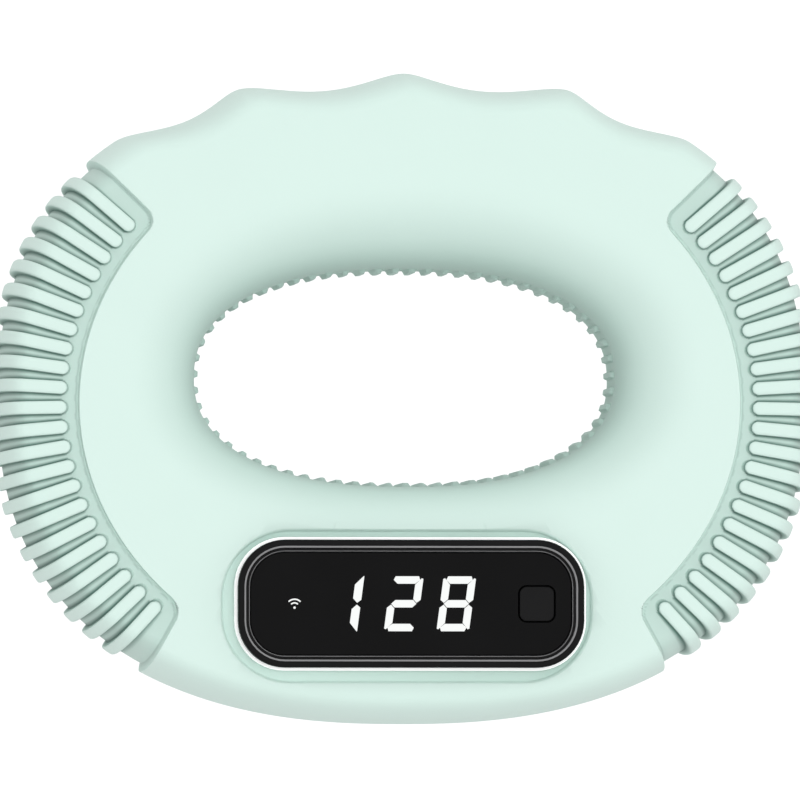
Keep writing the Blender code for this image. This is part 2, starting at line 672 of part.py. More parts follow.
def display_frame():
    """The black bezel with its stepped face, and the white trim ring round it."""
    outer = rounded_box(BEZEL_LENGTH, BEZEL_WIDTH, BEZEL_RADIUS)
    edge = 2 * BEZEL_EDGE
    step = rounded_box(BEZEL_LENGTH - edge, BEZEL_WIDTH - edge, BEZEL_RADIUS - BEZEL_EDGE)
    inset = 2 * BEZEL_FRAME
    opening = rounded_box(BEZEL_LENGTH - inset, BEZEL_WIDTH - inset, BEZEL_RADIUS - BEZEL_FRAME)
    skirt = rounded_box(BEZEL_LENGTH - edge, BEZEL_WIDTH - edge, BEZEL_RADIUS - BEZEL_EDGE)
    loops = [(outer, BEZEL_BOTTOM), (outer, BEZEL_TOP), (step, BEZEL_TOP),
             (step, BEZEL_TOP - BEZEL_STEP), (opening, BEZEL_TOP - BEZEL_STEP),
             (opening, MASK_BOTTOM), (skirt, MASK_BOTTOM), (skirt, BEZEL_BOTTOM)]
    piece("display_bezel", lofted([at_height(o, z) for o, z in loops], ring=True),
          black_plastic(), (0.0, MODULE_Y, BEZEL_BOTTOM))
    trim_in = 2 * (BEZEL_EDGE - GAP)
    outside = rounded_box(BEZEL_LENGTH + 2 * TRIM_EDGE, BEZEL_WIDTH + 2 * TRIM_EDGE,
                          BEZEL_RADIUS + TRIM_EDGE)
    inside = rounded_box(BEZEL_LENGTH - trim_in, BEZEL_WIDTH - trim_in,
                         BEZEL_RADIUS - BEZEL_EDGE + GAP)
    top = BEZEL_BOTTOM - GAP
    piece("trim_ring", frame(outside, inside, top - TRIM_THICKNESS, top), white_plastic(),
          (0.0, MODULE_Y, top))


def window_outline():
    inset = 2 * (BEZEL_FRAME + GAP)
    return rounded_box(BEZEL_LENGTH - inset, BEZEL_WIDTH - inset, BEZEL_RADIUS - BEZEL_FRAME - GAP)


def display_window():
    """The dark lens, the mask behind it and the key that comes through both."""
    key_hole = rounded_box(BUTTON_SIZE + 2 * GAP, BUTTON_SIZE + 2 * GAP, BUTTON_RADIUS + GAP, BUTTON_X)
    lens = piece("display_lens", prism(window_outline(), LENS_BOTTOM, LENS_TOP), dark_window(),
                 (0.0, MODULE_Y, LENS_BOTTOM))
    combine(lens, prism(key_hole, LENS_BOTTOM - GAP, LENS_TOP + GAP))
    mask = piece("display_mask", prism(window_outline(), MASK_BOTTOM, MASK_TOP), rubber(),
                 (0.0, MODULE_Y, MASK_BOTTOM))
    digits = rectangle(DIGIT_WINDOW_LENGTH, DIGIT_WINDOW_WIDTH)
    for hole in (key_hole, digits, circle(PIPE_RADIUS + GAP, ICON_X)):
        combine(mask, prism(hole, MASK_BOTTOM - GAP, MASK_TOP + GAP))


def power_button():
    """The square key: a cap through the lens on a flange behind the mask."""
    cap = rounded_box(BUTTON_SIZE, BUTTON_SIZE, BUTTON_RADIUS, BUTTON_X)
    size = BUTTON_SIZE + 2 * BUTTON_FLANGE
    flange = rounded_box(size, size, BUTTON_RADIUS + BUTTON_FLANGE, BUTTON_X)
    top = MASK_BOTTOM - GAP
    loops = [(flange, key_bottom()), (flange, top), (cap, top), (cap, LENS_TOP)]
    piece("power_button", lofted([at_height(o, z) for o, z in loops]), black_plastic(),
          (BUTTON_X, MODULE_Y, LENS_TOP))
    plunger = circle(PLUNGER_RADIUS, BUTTON_X, steps=16)
    piece("switch_plunger", prism(plunger, plunger_bottom(), key_bottom() - GAP),
          white_plastic(), (BUTTON_X, MODULE_Y, key_bottom() - GAP))
    base = rounded_box(SWITCH_SIZE, SWITCH_SIZE, BUTTON_RADIUS / 2, BUTTON_X)
    bottom = BOARD_TOP + GAP
    switch = piece("button_switch", prism(base, bottom, bottom + SWITCH_HEIGHT), bright_metal(),
                   (BUTTON_X, MODULE_Y, bottom))
    well = circle(PLUNGER_RADIUS + GAP, BUTTON_X)
    combine(switch, prism(well, plunger_bottom() - BUTTON_TRAVEL - GAP, DEPTH))


def key_bottom():
    """Bottom of the key's flange, in the hole through the case's front wall."""
    return CASE_TOP - CASE_WALL / 2


def plunger_bottom():
    return BOARD_TOP + GAP + SWITCH_HEIGHT / 2


def screw_tip():
    return BOARD_BOTTOM - GAP + BOARD_SCREW_LENGTH


def cover_screw_tip():
    return COVER_RECESS + GAP + SCREW_HEAD_HEIGHT + COVER_SCREW_LENGTH


def screw(name, head_radius, shank_radius, head_bottom, tip, x, y=MODULE_Y):
    """A screw put in from the back: its head at the bottom, its tip up."""
    head_top = head_bottom + SCREW_HEAD_HEIGHT
    loops = [(head_radius, head_bottom), (head_radius, head_top), (shank_radius, head_top),
             (shank_radius, tip)]
    made = piece(name, lofted([at_height(circle(r, x, y), z) for r, z in loops]),
                 bright_metal(), (x, y, head_bottom))
    slot = head_radius * 0.55
    combine(made, block(x - slot, x + slot, y - slot / 4, y + slot / 4,
                        head_bottom - GAP, head_bottom + SCREW_HEAD_HEIGHT / 2))


def main_board():
    size = (INNER_LENGTH - 2 * BOARD_MARGIN, INNER_WIDTH - 2 * BOARD_MARGIN)
    outline = rounded_box(*size, INNER_RADIUS - BOARD_MARGIN)
    board = piece("main_board", prism(outline, BOARD_BOTTOM, BOARD_TOP), circuit_board(),
                  (0.0, MODULE_Y, BOARD_BOTTOM))
    spots = [(-POST_X, MODULE_Y - POST_Y), (POST_X, MODULE_Y + POST_Y)]
    for (x, y), name in zip(spots, ("board_screw_left", "board_screw_right")):
        combine(board, prism(circle(BOARD_SCREW_RADIUS + GAP, x, y), BOARD_BOTTOM - GAP,
                             BOARD_TOP + GAP))
        head_bottom = BOARD_BOTTOM - GAP - SCREW_HEAD_HEIGHT
        screw(name, BOARD_SCREW_HEAD, BOARD_SCREW_RADIUS, head_bottom, screw_tip(), x, y)


def board_parts():
    """What is soldered to the main board, on its front and its back."""
    top = BOARD_TOP + GAP
    x, y, half_x, half_y = 0.0, MODULE_Y, DISPLAY_LENGTH / 2, DISPLAY_WIDTH / 2
    bevelled(piece("digit_display", block(x - half_x, x + half_x, y - half_y, y + half_y,
                                          top, top + DISPLAY_HEIGHT - GAP), grey_package(),
                   (0.0, MODULE_Y, top)), 0.0002)
    lamp = PIPE_RADIUS * 0.8
    lamp_top = top + lamp
    piece("link_lamp", block(ICON_X - lamp, ICON_X + lamp, y - lamp / 2, y + lamp / 2, top, lamp_top),
          white_plastic(), (ICON_X, MODULE_Y, top))
    piece("link_light_pipe", prism(circle(PIPE_RADIUS, ICON_X, steps=16), lamp_top + GAP, MASK_TOP),
          clear_plastic(), (ICON_X, MODULE_Y, lamp_top + GAP))
    under = BOARD_BOTTOM - GAP
    half = CHIP_SIZE / 2
    bevelled(piece("radio_chip", block(x + GAP + FLEX_TAIL_WIDTH / 2, x + GAP + FLEX_TAIL_WIDTH / 2
                                       + CHIP_SIZE, y - half, y + half, under - CHIP_HEIGHT, under),
                   bright_metal()), 0.0002)
    half = AMPLIFIER_SIZE / 2
    x = AMPLIFIER_X
    bevelled(piece("gauge_amplifier", block(x - half, x + half, y - half, y + half,
                                            under - CHIP_HEIGHT, under), grey_package()), 0.0001)


def power_pack():
    """Battery on its tray, and the charging socket on its own small board."""
    battery = rounded_box(BATTERY_LENGTH, BATTERY_WIDTH, BATTERY_WIDTH / 5, 0.0, BATTERY_Y)
    bevelled(piece("battery", prism(battery, BATTERY_BOTTOM, BATTERY_BOTTOM + BATTERY_HEIGHT),
                   silver_pouch(), (0.0, BATTERY_Y, BATTERY_BOTTOM)), 0.0006, 2)
    end = BATTERY_LENGTH / 2 + GAP
    half = BATTERY_WIDTH / 2
    tray = piece("battery_tray", block(-end - TRAY_THICKNESS, end + TRAY_THICKNESS,
                                       BATTERY_Y - half, BATTERY_Y + half,
                                       TRAY_BOTTOM, TRAY_BOTTOM + TRAY_LIP), black_plastic())
    combine(tray, block(-end, end, BATTERY_Y - half - GAP, BATTERY_Y + half + GAP,
                        TRAY_BOTTOM + TRAY_THICKNESS, DEPTH))
    plate = rounded_box(CHARGE_BOARD_LENGTH, CHARGE_BOARD_WIDTH, 0.001, 0.0, BATTERY_Y)
    piece("charge_board", prism(plate, CHARGE_BOARD_BOTTOM,
                                CHARGE_BOARD_BOTTOM + CHARGE_BOARD_THICKNESS), circuit_board())
    inner = socket_outline(-SOCKET_WALL)
    floor = SOCKET_MOUTH + SOCKET_DEPTH - SOCKET_WALL
    loops = [(inner, floor), (inner, SOCKET_MOUTH), (socket_outline(), SOCKET_MOUTH),
             (socket_outline(), SOCKET_MOUTH + SOCKET_DEPTH)]
    socket = piece("charge_socket", lofted([at_height(o, z) for o, z in loops]), bright_metal(),
                   (0.0, MODULE_Y, SOCKET_MOUTH))
    tongue = rectangle(TONGUE_LENGTH, TONGUE_THICKNESS)
    combine(socket, prism(tongue, SOCKET_MOUTH + 2 * GAP, floor + SOCKET_WALL / 2), "UNION")


def socket_outline(margin=0.0):
    """The charging socket's outline, or one that lies margin outside it."""
    length, width = SOCKET_LENGTH + 2 * margin, SOCKET_WIDTH + 2 * margin
    return rounded_box(length, width, width / 2 - GAP)


def back_cover():
    outline = rounded_box(CASE_LENGTH, CASE_WIDTH, CASE_RADIUS)
    cover = piece("back_cover", prism(outline, COVER_RECESS, COVER_TOP), black_plastic(),
                  (0.0, MODULE_Y, COVER_RECESS))
    combine(cover, prism(socket_outline(GAP), 0.0, COVER_TOP + GAP))
    for side, name in ((-1, "cover_screw_left"), (1, "cover_screw_right")):
        x = side * BOSS_X
        head_bottom = COVER_RECESS + GAP
        head = circle(COVER_SCREW_HEAD + GAP, x)
        combine(cover, prism(head, 0.0, head_bottom + SCREW_HEAD_HEIGHT + GAP))
        combine(cover, prism(circle(COVER_SCREW_RADIUS + GAP, x), 0.0, COVER_TOP + GAP))
        screw(name, COVER_SCREW_HEAD, COVER_SCREW_RADIUS, head_bottom, cover_screw_tip(), x)
    out, into = 2 * GAP, 2 * (GAP + GASKET_WIDTH)
    outer = rounded_box(CASE_LENGTH - out, CASE_WIDTH - out, CASE_RADIUS - GAP)
    inner = rounded_box(CASE_LENGTH - into, CASE_WIDTH - into, CASE_RADIUS - GAP - GASKET_WIDTH)
    piece("case_gasket", frame(outer, inner, GASKET_BOTTOM, GASKET_BOTTOM + GASKET_HEIGHT),
          rubber(), (0.0, MODULE_Y, GASKET_BOTTOM))


# ---------------------------------------------------------------- motion
def slide_empty(name, place, children):
    """An empty on a slide's line that carries what moves along it."""
    empty = bpy.data.objects.new(name, None)
    empty.location = place
    bpy.context.scene.collection.objects.link(empty)
    for child in children:
        moving = bpy.data.objects[child]
        moving.location = moving.location - Vector(place)
        moving.parent = empty


def main():
    clear_scene()
    grip_sections()
    spring_band()
    strain_gauges()
    gauge_flex()
    module_case()
    display_frame()
    display_window()
    power_button()
    main_board()
    board_parts()
    power_pack()
    back_cover()
    slide_empty("squeeze_slide", (0.0, HEIGHT / 2, MIDDLE_Z), ["finger_grip"])
    slide_empty("button_slide", (BUTTON_X, MODULE_Y, LENS_TOP), ["power_button", "switch_plunger"])


main()
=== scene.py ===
"""Looks of a grip-ring hand dynamometer: mint silicone ring, display module and studio stage.

Metres throughout. The ring lies on its back with the display facing +Z and the finger side
towards +Y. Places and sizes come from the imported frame; the settings hold what a user would change.
"""

import math

import bmesh
import bpy
import numpy as np
from mathutils import Matrix, Vector


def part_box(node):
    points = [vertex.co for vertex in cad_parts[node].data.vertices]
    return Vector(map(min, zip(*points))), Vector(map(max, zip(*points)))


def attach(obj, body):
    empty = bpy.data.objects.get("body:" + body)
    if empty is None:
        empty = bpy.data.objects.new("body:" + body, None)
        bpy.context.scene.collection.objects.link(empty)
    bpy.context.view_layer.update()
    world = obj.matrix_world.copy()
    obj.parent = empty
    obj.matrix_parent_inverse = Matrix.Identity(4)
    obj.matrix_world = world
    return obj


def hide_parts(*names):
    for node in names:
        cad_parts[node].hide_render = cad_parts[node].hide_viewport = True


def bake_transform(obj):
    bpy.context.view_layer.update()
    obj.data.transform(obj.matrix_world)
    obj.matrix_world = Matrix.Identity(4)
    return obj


bl_info = {
    "name": "Grip Ring Dynamometer",
    "version": (1, 0, 0),
    "blender": (4, 5, 0),
    "location": "View3D > Sidebar > Grip Ring",
    "description": "Builds the silicone skin, display module, finishes and stage of a grip ring",
    "category": "Object",
}

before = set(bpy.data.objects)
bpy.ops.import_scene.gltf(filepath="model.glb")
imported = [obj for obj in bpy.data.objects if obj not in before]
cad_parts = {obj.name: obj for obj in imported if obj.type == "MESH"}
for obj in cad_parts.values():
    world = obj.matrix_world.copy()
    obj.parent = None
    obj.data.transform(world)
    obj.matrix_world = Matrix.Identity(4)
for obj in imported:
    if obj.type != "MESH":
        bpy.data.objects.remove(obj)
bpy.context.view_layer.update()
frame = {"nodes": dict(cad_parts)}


# ---------------------------------------------------------------- places from the frame
def joined_box(*nodes):
    """Lowest and highest corner of several CAD nodes."""
    lows, highs = zip(*(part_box(node) for node in nodes))
    return Vector(map(min, *lows)), Vector(map(max, *highs))


GRIPS = ("finger_grip", "palm_grip", "left_side_grip", "right_side_grip")
RING_LOW, RING_HIGH = joined_box(*GRIPS)
RING_HALF = (RING_HIGH - RING_LOW) / 2
MIDDLE_Z = (RING_LOW.z + RING_HIGH.z) / 2
FACE_Z = RING_HIGH.z
BAND_LOW, BAND_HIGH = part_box("spring_band")
BAND_HALF = (BAND_HIGH - BAND_LOW) / 2
BEZEL_LOW, BEZEL_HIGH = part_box("display_bezel")
MODULE = (BEZEL_LOW + BEZEL_HIGH) / 2
BEZEL_LENGTH, BEZEL_WIDTH = BEZEL_HIGH.x - BEZEL_LOW.x, BEZEL_HIGH.y - BEZEL_LOW.y
BEZEL_TOP = BEZEL_HIGH.z
TRIM_LOW, TRIM_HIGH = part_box("trim_ring")
LENS_LOW, LENS_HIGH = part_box("display_lens")
KEY_LOW, KEY_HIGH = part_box("power_button")
CASE_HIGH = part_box("module_case")[1]
COVER_LOW, COVER_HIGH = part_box("back_cover")
PIPE_LOW, PIPE_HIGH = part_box("link_light_pipe")
GAP = 0.0003  # clearance between neighbouring solids
MM = 0.001

# Grooves and ribs as the CAD has them, in metres and degrees round the ribs' ellipse
OUTLINE_POWER, HOLE_POWER, CROWN_POWER = 2.37, 2.28, 2.3
GROOVE_DEPTH, PEAK_SOFTNESS = 0.00165, 0.25
GROOVE_PEAKS = (-0.0318, -0.0181, 0.0, 0.0181, 0.0318)
RIB_COUNT, RIB_FIRST, RIB_STEP, RIB_STEP_GROWTH = 22, 36.3, 3.66, 0.0055
RIB_SPAN = np.array((RING_HALF.x - 0.0076, RING_HALF.y - 0.0037))
RIB_CENTRE = np.array((0.0, -0.0008))
RECESS_SPAN = RIB_SPAN - 0.00125
RECESS_TOP, RECESS_TOP_WALL = 40.5, 44.3
RECESS_BOTTOM, RECESS_BOTTOM_WALL = -46.6, -61.0
BAND_COVER = 0.0036  # hole wall to the spring band's outside
BAND_THICKNESS = 0.0008
LIP_BOTTOM, LIP_TOP = 0.0085, 0.0100  # the case's flange
KEY_SIZE = 0.0038
PLATE_HALF = 0.00002  # half the thickness of a digit's or sign's plate
HOLE_SHIFT = (0.0007, -0.0004)  # the skin's hole from the CAD's centre
HOLE_TRIM = (0.0003, 0.0002)  # how much less its half width and half height are


# ---------------------------------------------------------------- settings
def length(name, description, default, **limits):
    return bpy.props.FloatProperty(name=name, description=description, default=default,
                                   subtype="DISTANCE", unit="LENGTH", precision=5, **limits)


def colour(name, description, default):
    return bpy.props.FloatVectorProperty(name=name, description=description, default=default,
                                         subtype="COLOR", size=3, min=0.0, max=1.0)


def number(name, description, default, **limits):
    return bpy.props.FloatProperty(name=name, description=description, default=default, **limits)


class GripSettings(bpy.types.PropertyGroup):
    """Shape and colours of the silicone ring."""

    crown: length("Crown", "Plan width of the outer edge's roll-off", 0.0030, min=0.001)
    fillet: length("Hole fillet", "Radius round the hole at the sides and fingers", 0.0088, min=0.001)
    palm_fillet: length("Palm fillet", "Radius round the hole beside the display", 0.0052, min=0.001)
    rib_width: length("Rib width", "Width of one side rib", 0.0015, min=0.0005)
    rib_height: length("Rib height", "Depth of the recess between the ribs", 0.0009, min=0.0002)
    corner: length("Recess corner", "Radius of the recess's inner corners", 0.0017, min=0.0001)
    edge: length("Recess edge", "Width of the recess's soft edge", 0.00034, min=0.0001)
    ridges: bpy.props.IntProperty(name="Hole ridges", description="Short ridges round the hole",
                                  default=63, min=8)
    ridge_width: length("Ridge width", "Width of one ridge in the hole", 0.00078, min=0.0004)
    # painted shade: how much darker the hole's wall and fillets are painted, where the hole shades them
    hole_painted_shade: number("Hole tint", "How much darker the hole's wall is", 0.30, min=0.0, max=1.0)
    # painted shade: how much darker the moat's top and right sides are painted, away from the light
    moat_painted_shade: number("Moat tint", "How much darker the moat's far sides are", 0.34, min=0.0, max=1.0)
    ridge_height: length("Ridge height", "How far a ridge stands into the hole", 0.00050, min=0.0001)
    moat: length("Moat width", "Recess in the silicone round the trim ring", 0.0011, min=0.0004)
    moat_depth: length("Moat depth", "Depth of the recess round the trim ring", 0.0010, min=0.0003)
    moat_radius: length("Moat corner", "Corner radius of the recess", 0.0076, min=0.002)
    mint: colour("Mint", "Silicone's colour", (0.640, 0.800, 0.740))
    # painted shade: the colour that creases, the recess floor, the hole's wall and the moat are painted
    # towards where shade falls on them
    shade: colour("Shade", "Silicone's colour deep in a crease", (0.110, 0.215, 0.180))
    # painted shade: how much darker the recess's floor is painted, where shade falls between the ribs
    recess_painted_shade: number("Recess tint", "How much darker the recess's floor is", 0.20, min=0.0, max=1.0)
    # painted shade: strength of the shade painted in the line attribute beside the ribs, along the recess
    # wall, round the hole and in the moat
    painted_shade_strength: number("Line tint", "How dark the lines beside the ribs are", 1.0, min=0.0, max=1.0)


class DisplaySettings(bpy.types.PropertyGroup):
    """Sizes and colours of the display, its key and its signs."""

    radius: length("Bezel corner", "Corner radius of the bezel", 0.0052, min=0.001)
    rim: length("Rim", "Width of the bezel's raised rim", 0.00080, min=0.0002)
    frame: length("Frame", "Bezel's outside to its opening", 0.00130, min=0.0004)
    digit_height: length("Digit height", "Height of the digits", 0.00605, min=0.001)
    digit_width: length("Digit width", "Width of one digit", 0.0036, min=0.001)
    stroke: length("Stroke", "Width of a lit segment", 0.00082, min=0.0002)
    slant: bpy.props.FloatProperty(name="Slant", description="Lean of the digits",
                                   default=math.radians(7.6), subtype="ANGLE", unit="ROTATION")
    reading: bpy.props.StringProperty(name="Reading", description="Digits shown", default="128")
    sign_size: length("Link sign", "Height of the wireless sign", 0.00105, min=0.0005)
    black: colour("Black", "Bezel and key", (0.0065, 0.0065, 0.0068))
    glass: colour("Glass", "Lens", (0.0050, 0.0050, 0.0052))
    # painted highlight: this pale grey on the bezel's step slopes stands in for the light they catch
    line: colour("Edge line", "Worn edges of the bezel", (0.25, 0.25, 0.255))
    glow: colour("Glow", "Lit digits", (0.96, 0.98, 0.97))
    # painted light: the white trim ring glows though it is no lamp
    trim_painted_glow: number("Trim glow", "Light that the trim ring gives back", 0.30, min=0.0)
    trim: colour("Trim", "Ring round the bezel", (0.90, 0.92, 0.91))


class StageSettings(bpy.types.PropertyGroup):
    """Camera and light."""

    view_width: length("View width", "Width seen at the ring's middle", 0.0886, min=0.01)
    distance: length("Distance", "Camera to the ring's middle", 2.50, min=0.1)
    lean_x: bpy.props.FloatProperty(name="Lean in X", description="Camera's lean to the left",
                                    default=math.radians(4.2), subtype="ANGLE", unit="ROTATION")
    lean_y: bpy.props.FloatProperty(name="Lean in Y", description="Camera's lean to the palm side",
                                    default=math.radians(1.4), subtype="ANGLE", unit="ROTATION")
    sun: number("Key light", "Strength of the key light", 1.70, min=0.0)
    sky: number("Sky", "Strength of the soft light all round", 0.45, min=0.0)
    fill: number("Side fill", "Strength of each low light round the ring", 0.30, min=0.0)
    backdrop: colour("Backdrop", "Floor", (1.0, 1.0, 1.0))


# ---------------------------------------------------------------- shader tools
class Value:
    """A number socket; arithmetic on it adds Math nodes to its tree."""

    def __init__(self, tree, socket):
        self.tree, self.socket = tree, socket

    def _math(self, operation, *values, clamp=False):
        node = self.tree.nodes.new("ShaderNodeMath")
        node.operation, node.use_clamp = operation, clamp
        for slot, value in zip(node.inputs, values):
            if isinstance(value, Value):
                self.tree.links.new(value.socket, slot)
            else:
                slot.default_value = value
        return Value(self.tree, node.outputs[0])

    def __add__(self, other):
        return self._math("ADD", self, other)

    def __radd__(self, other):
        return self._math("ADD", other, self)

    def __sub__(self, other):
        return self._math("SUBTRACT", self, other)

    def __rsub__(self, other):
        return self._math("SUBTRACT", other, self)

    def __mul__(self, other):
        return self._math("MULTIPLY", self, other)

    def __rmul__(self, other):
        return self._math("MULTIPLY", other, self)

    def clamped(self):
        return self._math("ADD", self, 0.0, clamp=True)

    def above(self, level):
        return self._math("GREATER_THAN", self, level)

    def larger(self, other):
        return self._math("MAXIMUM", self, other)


class Look:
    """A material in the making, with one Principled shader."""

    def __init__(self, name, **constants):
        self.material = bpy.data.materials.new(name)
        self.material.use_nodes = True
        self.tree = self.material.node_tree
        self.shader = self.tree.nodes["Principled BSDF"]
        self.put(self.shader, constants)
        self.position = self.node("ShaderNodeTexCoord").outputs["Object"]

    def put(self, node, values):
        """Sets or links sockets; a name's underscores stand for spaces."""
        for name, value in values.items():
            slot = node.inputs[int(name[1:]) if name[1:].isdigit() else name.replace("_", " ")]
            if isinstance(value, Value):
                self.tree.links.new(value.socket, slot)
            elif isinstance(value, bpy.types.NodeSocket):
                self.tree.links.new(value, slot)
            elif hasattr(value, "__len__") and slot.type == "RGBA":
                slot.default_value = (*value[:3], 1.0)
            else:
                slot.default_value = value

    def node(self, kind, settings=None, **values):
        made = self.tree.nodes.new(kind)
        for name, value in (settings or {}).items():
            setattr(made, name, value)
        self.put(made, values)
        return made

    def noise(self, size, detail=3.0, roughness=0.5, vector=None):
        """Noise from 0 to 1 whose features are about size across."""
        made = self.node("ShaderNodeTexNoise", Vector=vector or self.position, Scale=1 / size,
                         Detail=detail, Roughness=roughness)
        return Value(self.tree, made.outputs[0])

    def stretched(self, x, y, z):
        """Object coordinates scaled along each axis."""
        made = self.node("ShaderNodeVectorMath", {"operation": "MULTIPLY"}, _0=self.position)
        made.inputs[1].default_value = (x, y, z)
        return made.outputs[0]

    def attribute(self, name):
        made = self.node("ShaderNodeAttribute", {"attribute_name": name})
        return Value(self.tree, made.outputs["Fac"])

    def mixed(self, factor, first, second):
        """A colour between two others."""
        made = self.node("ShaderNodeMix", {"data_type": "RGBA"})
        self.put(made, {"Factor": factor})
        for slot, value in ((made.inputs[6], first), (made.inputs[7], second)):
            if isinstance(value, bpy.types.NodeSocket):
                self.tree.links.new(value, slot)
            else:
                slot.default_value = (*value[:3], 1.0)
        return made.outputs[2]

    def bump(self, height, distance, strength=1.0):
        """Feeds a bump of the given depth to the shader's normal."""
        made = self.node("ShaderNodeBump", Height=height, Distance=distance, Strength=strength)
        self.put(self.shader, {"Normal": made.outputs[0]})

    def surface(self, **values):
        self.put(self.shader, values)
        return self.material


def deeper(shade, share):
    return tuple(channel * share for channel in shade)


def silicone(settings):
    look = Look("mint_silicone", Roughness=0.5, IOR=1.41)
    look.put(look.shader, {"Specular IOR Level": 0.35, "Sheen Weight": 0.08, "Sheen Roughness": 0.5})
    cloud, grain = look.noise(0.014, 2.0), look.noise(0.00022, 2.0)
    # painted shade: the line and floor attributes darken the mint towards the shade colour where shade falls;
    # cloud and grain add random tone
    line, floor = look.attribute("line"), look.attribute("floor")
    depth = (line * settings.painted_shade_strength).larger(floor * settings.recess_painted_shade)
    depth = (depth + (cloud - 0.5) * 0.035 + (grain - 0.5) * 0.012).clamped()
    look.bump(grain, 0.000012, 0.5)
    return look.surface(Base_Color=look.mixed(depth, settings.mint, settings.shade),
                        Roughness=0.50 + (cloud - 0.5) * 0.10 + (grain - 0.5) * 0.10)


def moulded(name, shade, roughness, grain_size=0.00025, grain_depth=0.00001, shine=0.15):
    """Moulded plastic or rubber: fine grain, slight cloudiness, rubbed patches."""
    look = Look(name)
    look.put(look.shader, {"Specular IOR Level": shine})
    cloud, grain = look.noise(0.006, 3.0), look.noise(grain_size, 2.0)
    look.bump(grain, grain_depth, 0.6)
    return look.surface(
        Base_Color=look.mixed(cloud, deeper(shade, 0.88), deeper(shade, 1.12)),
        Roughness=roughness + (cloud - 0.5) * 0.12 + (grain - 0.5) * 0.08)


def metal(name, shade, roughness, along="x"):
    """Metal with fine drawn lines along one axis."""
    look = Look(name)
    scales = {"x": (0.04, 1.0, 1.0), "y": (1.0, 0.04, 1.0), "z": (1.0, 1.0, 0.04)}[along]
    lines = look.noise(0.00012, 3.0, 0.6, look.stretched(*scales))
    stain = look.noise(0.004, 3.0)
    look.bump(lines, 0.000006, 0.5)
    return look.surface(Base_Color=look.mixed(stain, deeper(shade, 0.82), shade), Metallic=1.0,
                        Roughness=roughness + (lines - 0.5) * 0.15 + (stain - 0.5) * 0.10)


def circuit_board():
    """Solder mask over copper tracks, with small tinned pads."""
    look = Look("circuit_board")
    cells = look.node("ShaderNodeTexBrick", {"offset": 0.37, "squash": 1.7, "squash_frequency": 3},
                      Vector=look.position, Scale=420.0, Mortar_Size=0.06)
    tracks = Value(look.tree, cells.outputs["Fac"])
    dots = look.node("ShaderNodeTexVoronoi", Vector=look.position, Scale=900.0, Randomness=0.15)
    pads = 1 - Value(look.tree, dots.outputs["Distance"]).above(0.22)
    cloud = look.noise(0.003, 3.0)
    mask = look.mixed(cloud, (0.010, 0.110, 0.045), (0.018, 0.160, 0.065))
    tracked = look.mixed(tracks * 0.6, mask, (0.035, 0.260, 0.100))
    look.bump(tracks.larger(pads), 0.00002, 0.7)
    return look.surface(Base_Color=look.mixed(pads, tracked, (0.62, 0.60, 0.54)), Metallic=pads,
                        Roughness=0.42 - pads * 0.15 + (cloud - 0.5) * 0.1)


def amber_film():
    """Polyimide film with etched meander lines."""
    look = Look("amber_film", Coat_Weight=0.3)
    waves = look.node("ShaderNodeTexWave", {"wave_type": "BANDS", "bands_direction": "X"},
                      Vector=look.position, Scale=900.0, Distortion=0.6)
    lines = Value(look.tree, waves.outputs["Fac"])
    cloud = look.noise(0.002, 2.0)
    look.bump(lines, 0.000008, 0.6)
    film = look.mixed(cloud, (0.46, 0.19, 0.03), (0.66, 0.30, 0.05))
    return look.surface(Base_Color=look.mixed(lines.above(0.62), film, (0.24, 0.10, 0.03)),
                        Roughness=0.30 + (cloud - 0.5) * 0.12)


def silver_pouch():
    """Crinkled foil of the battery."""
    look = Look("silver_pouch")
    crinkle, fine = look.noise(0.0022, 5.0, 0.65), look.noise(0.0003, 2.0)
    look.bump(crinkle, 0.00012, 0.6)
    return look.surface(Base_Color=look.mixed(crinkle, (0.44, 0.45, 0.47), (0.66, 0.67, 0.69)),
                        Metallic=0.85, Roughness=0.34 + (crinkle - 0.5) * 0.2 + (fine - 0.5) * 0.1)


def clear_plastic():
    look = Look("clear_plastic", IOR=1.49)
    cloud, grain = look.noise(0.002, 2.0), look.noise(0.0002, 2.0)
    look.bump(grain, 0.000004, 0.4)
    return look.surface(Base_Color=look.mixed(cloud, (0.70, 0.74, 0.76), (0.84, 0.87, 0.88)),
                        Roughness=0.14 + (cloud - 0.5) * 0.08)


def glass(settings):
    """Hard-coated dark lens with the faintest haze and fine wipe marks."""
    look = Look("dark_window", Coat_Weight=0.05, Coat_Roughness=0.06)
    look.put(look.shader, {"Specular IOR Level": 0.10})
    haze = look.noise(0.009, 3.0)
    wipes = look.noise(0.0004, 2.0, 0.5, look.stretched(0.08, 1.0, 1.0))
    look.bump(wipes, 0.000001, 0.3)
    return look.surface(
        Base_Color=look.mixed(haze, deeper(settings.glass, 0.8), deeper(settings.glass, 1.2)),
        Roughness=0.10 + (haze - 0.5) * 0.05 + (wipes - 0.5) * 0.03)


def glowing(settings):
    """Lit segments: even light, a touch dimmer in a fine diffuser grain."""
    look = Look("lit_segment", Roughness=0.35, Emission_Strength=1.0)
    look.put(look.shader, {"Specular IOR Level": 0.1})
    grain, cloud = look.noise(0.00018, 2.0), look.noise(0.0016, 2.0)
    look.bump(grain, 0.000004, 0.4)
    dim = ((grain - 0.5) * 0.25 + (cloud - 0.5) * 0.2 + 0.15).clamped()
    lit = look.mixed(dim, settings.glow, deeper(settings.glow, 0.80))
    return look.surface(Base_Color=(0.02, 0.02, 0.02), Emission_Color=lit,
                        Roughness=0.35 + (grain - 0.5) * 0.1)


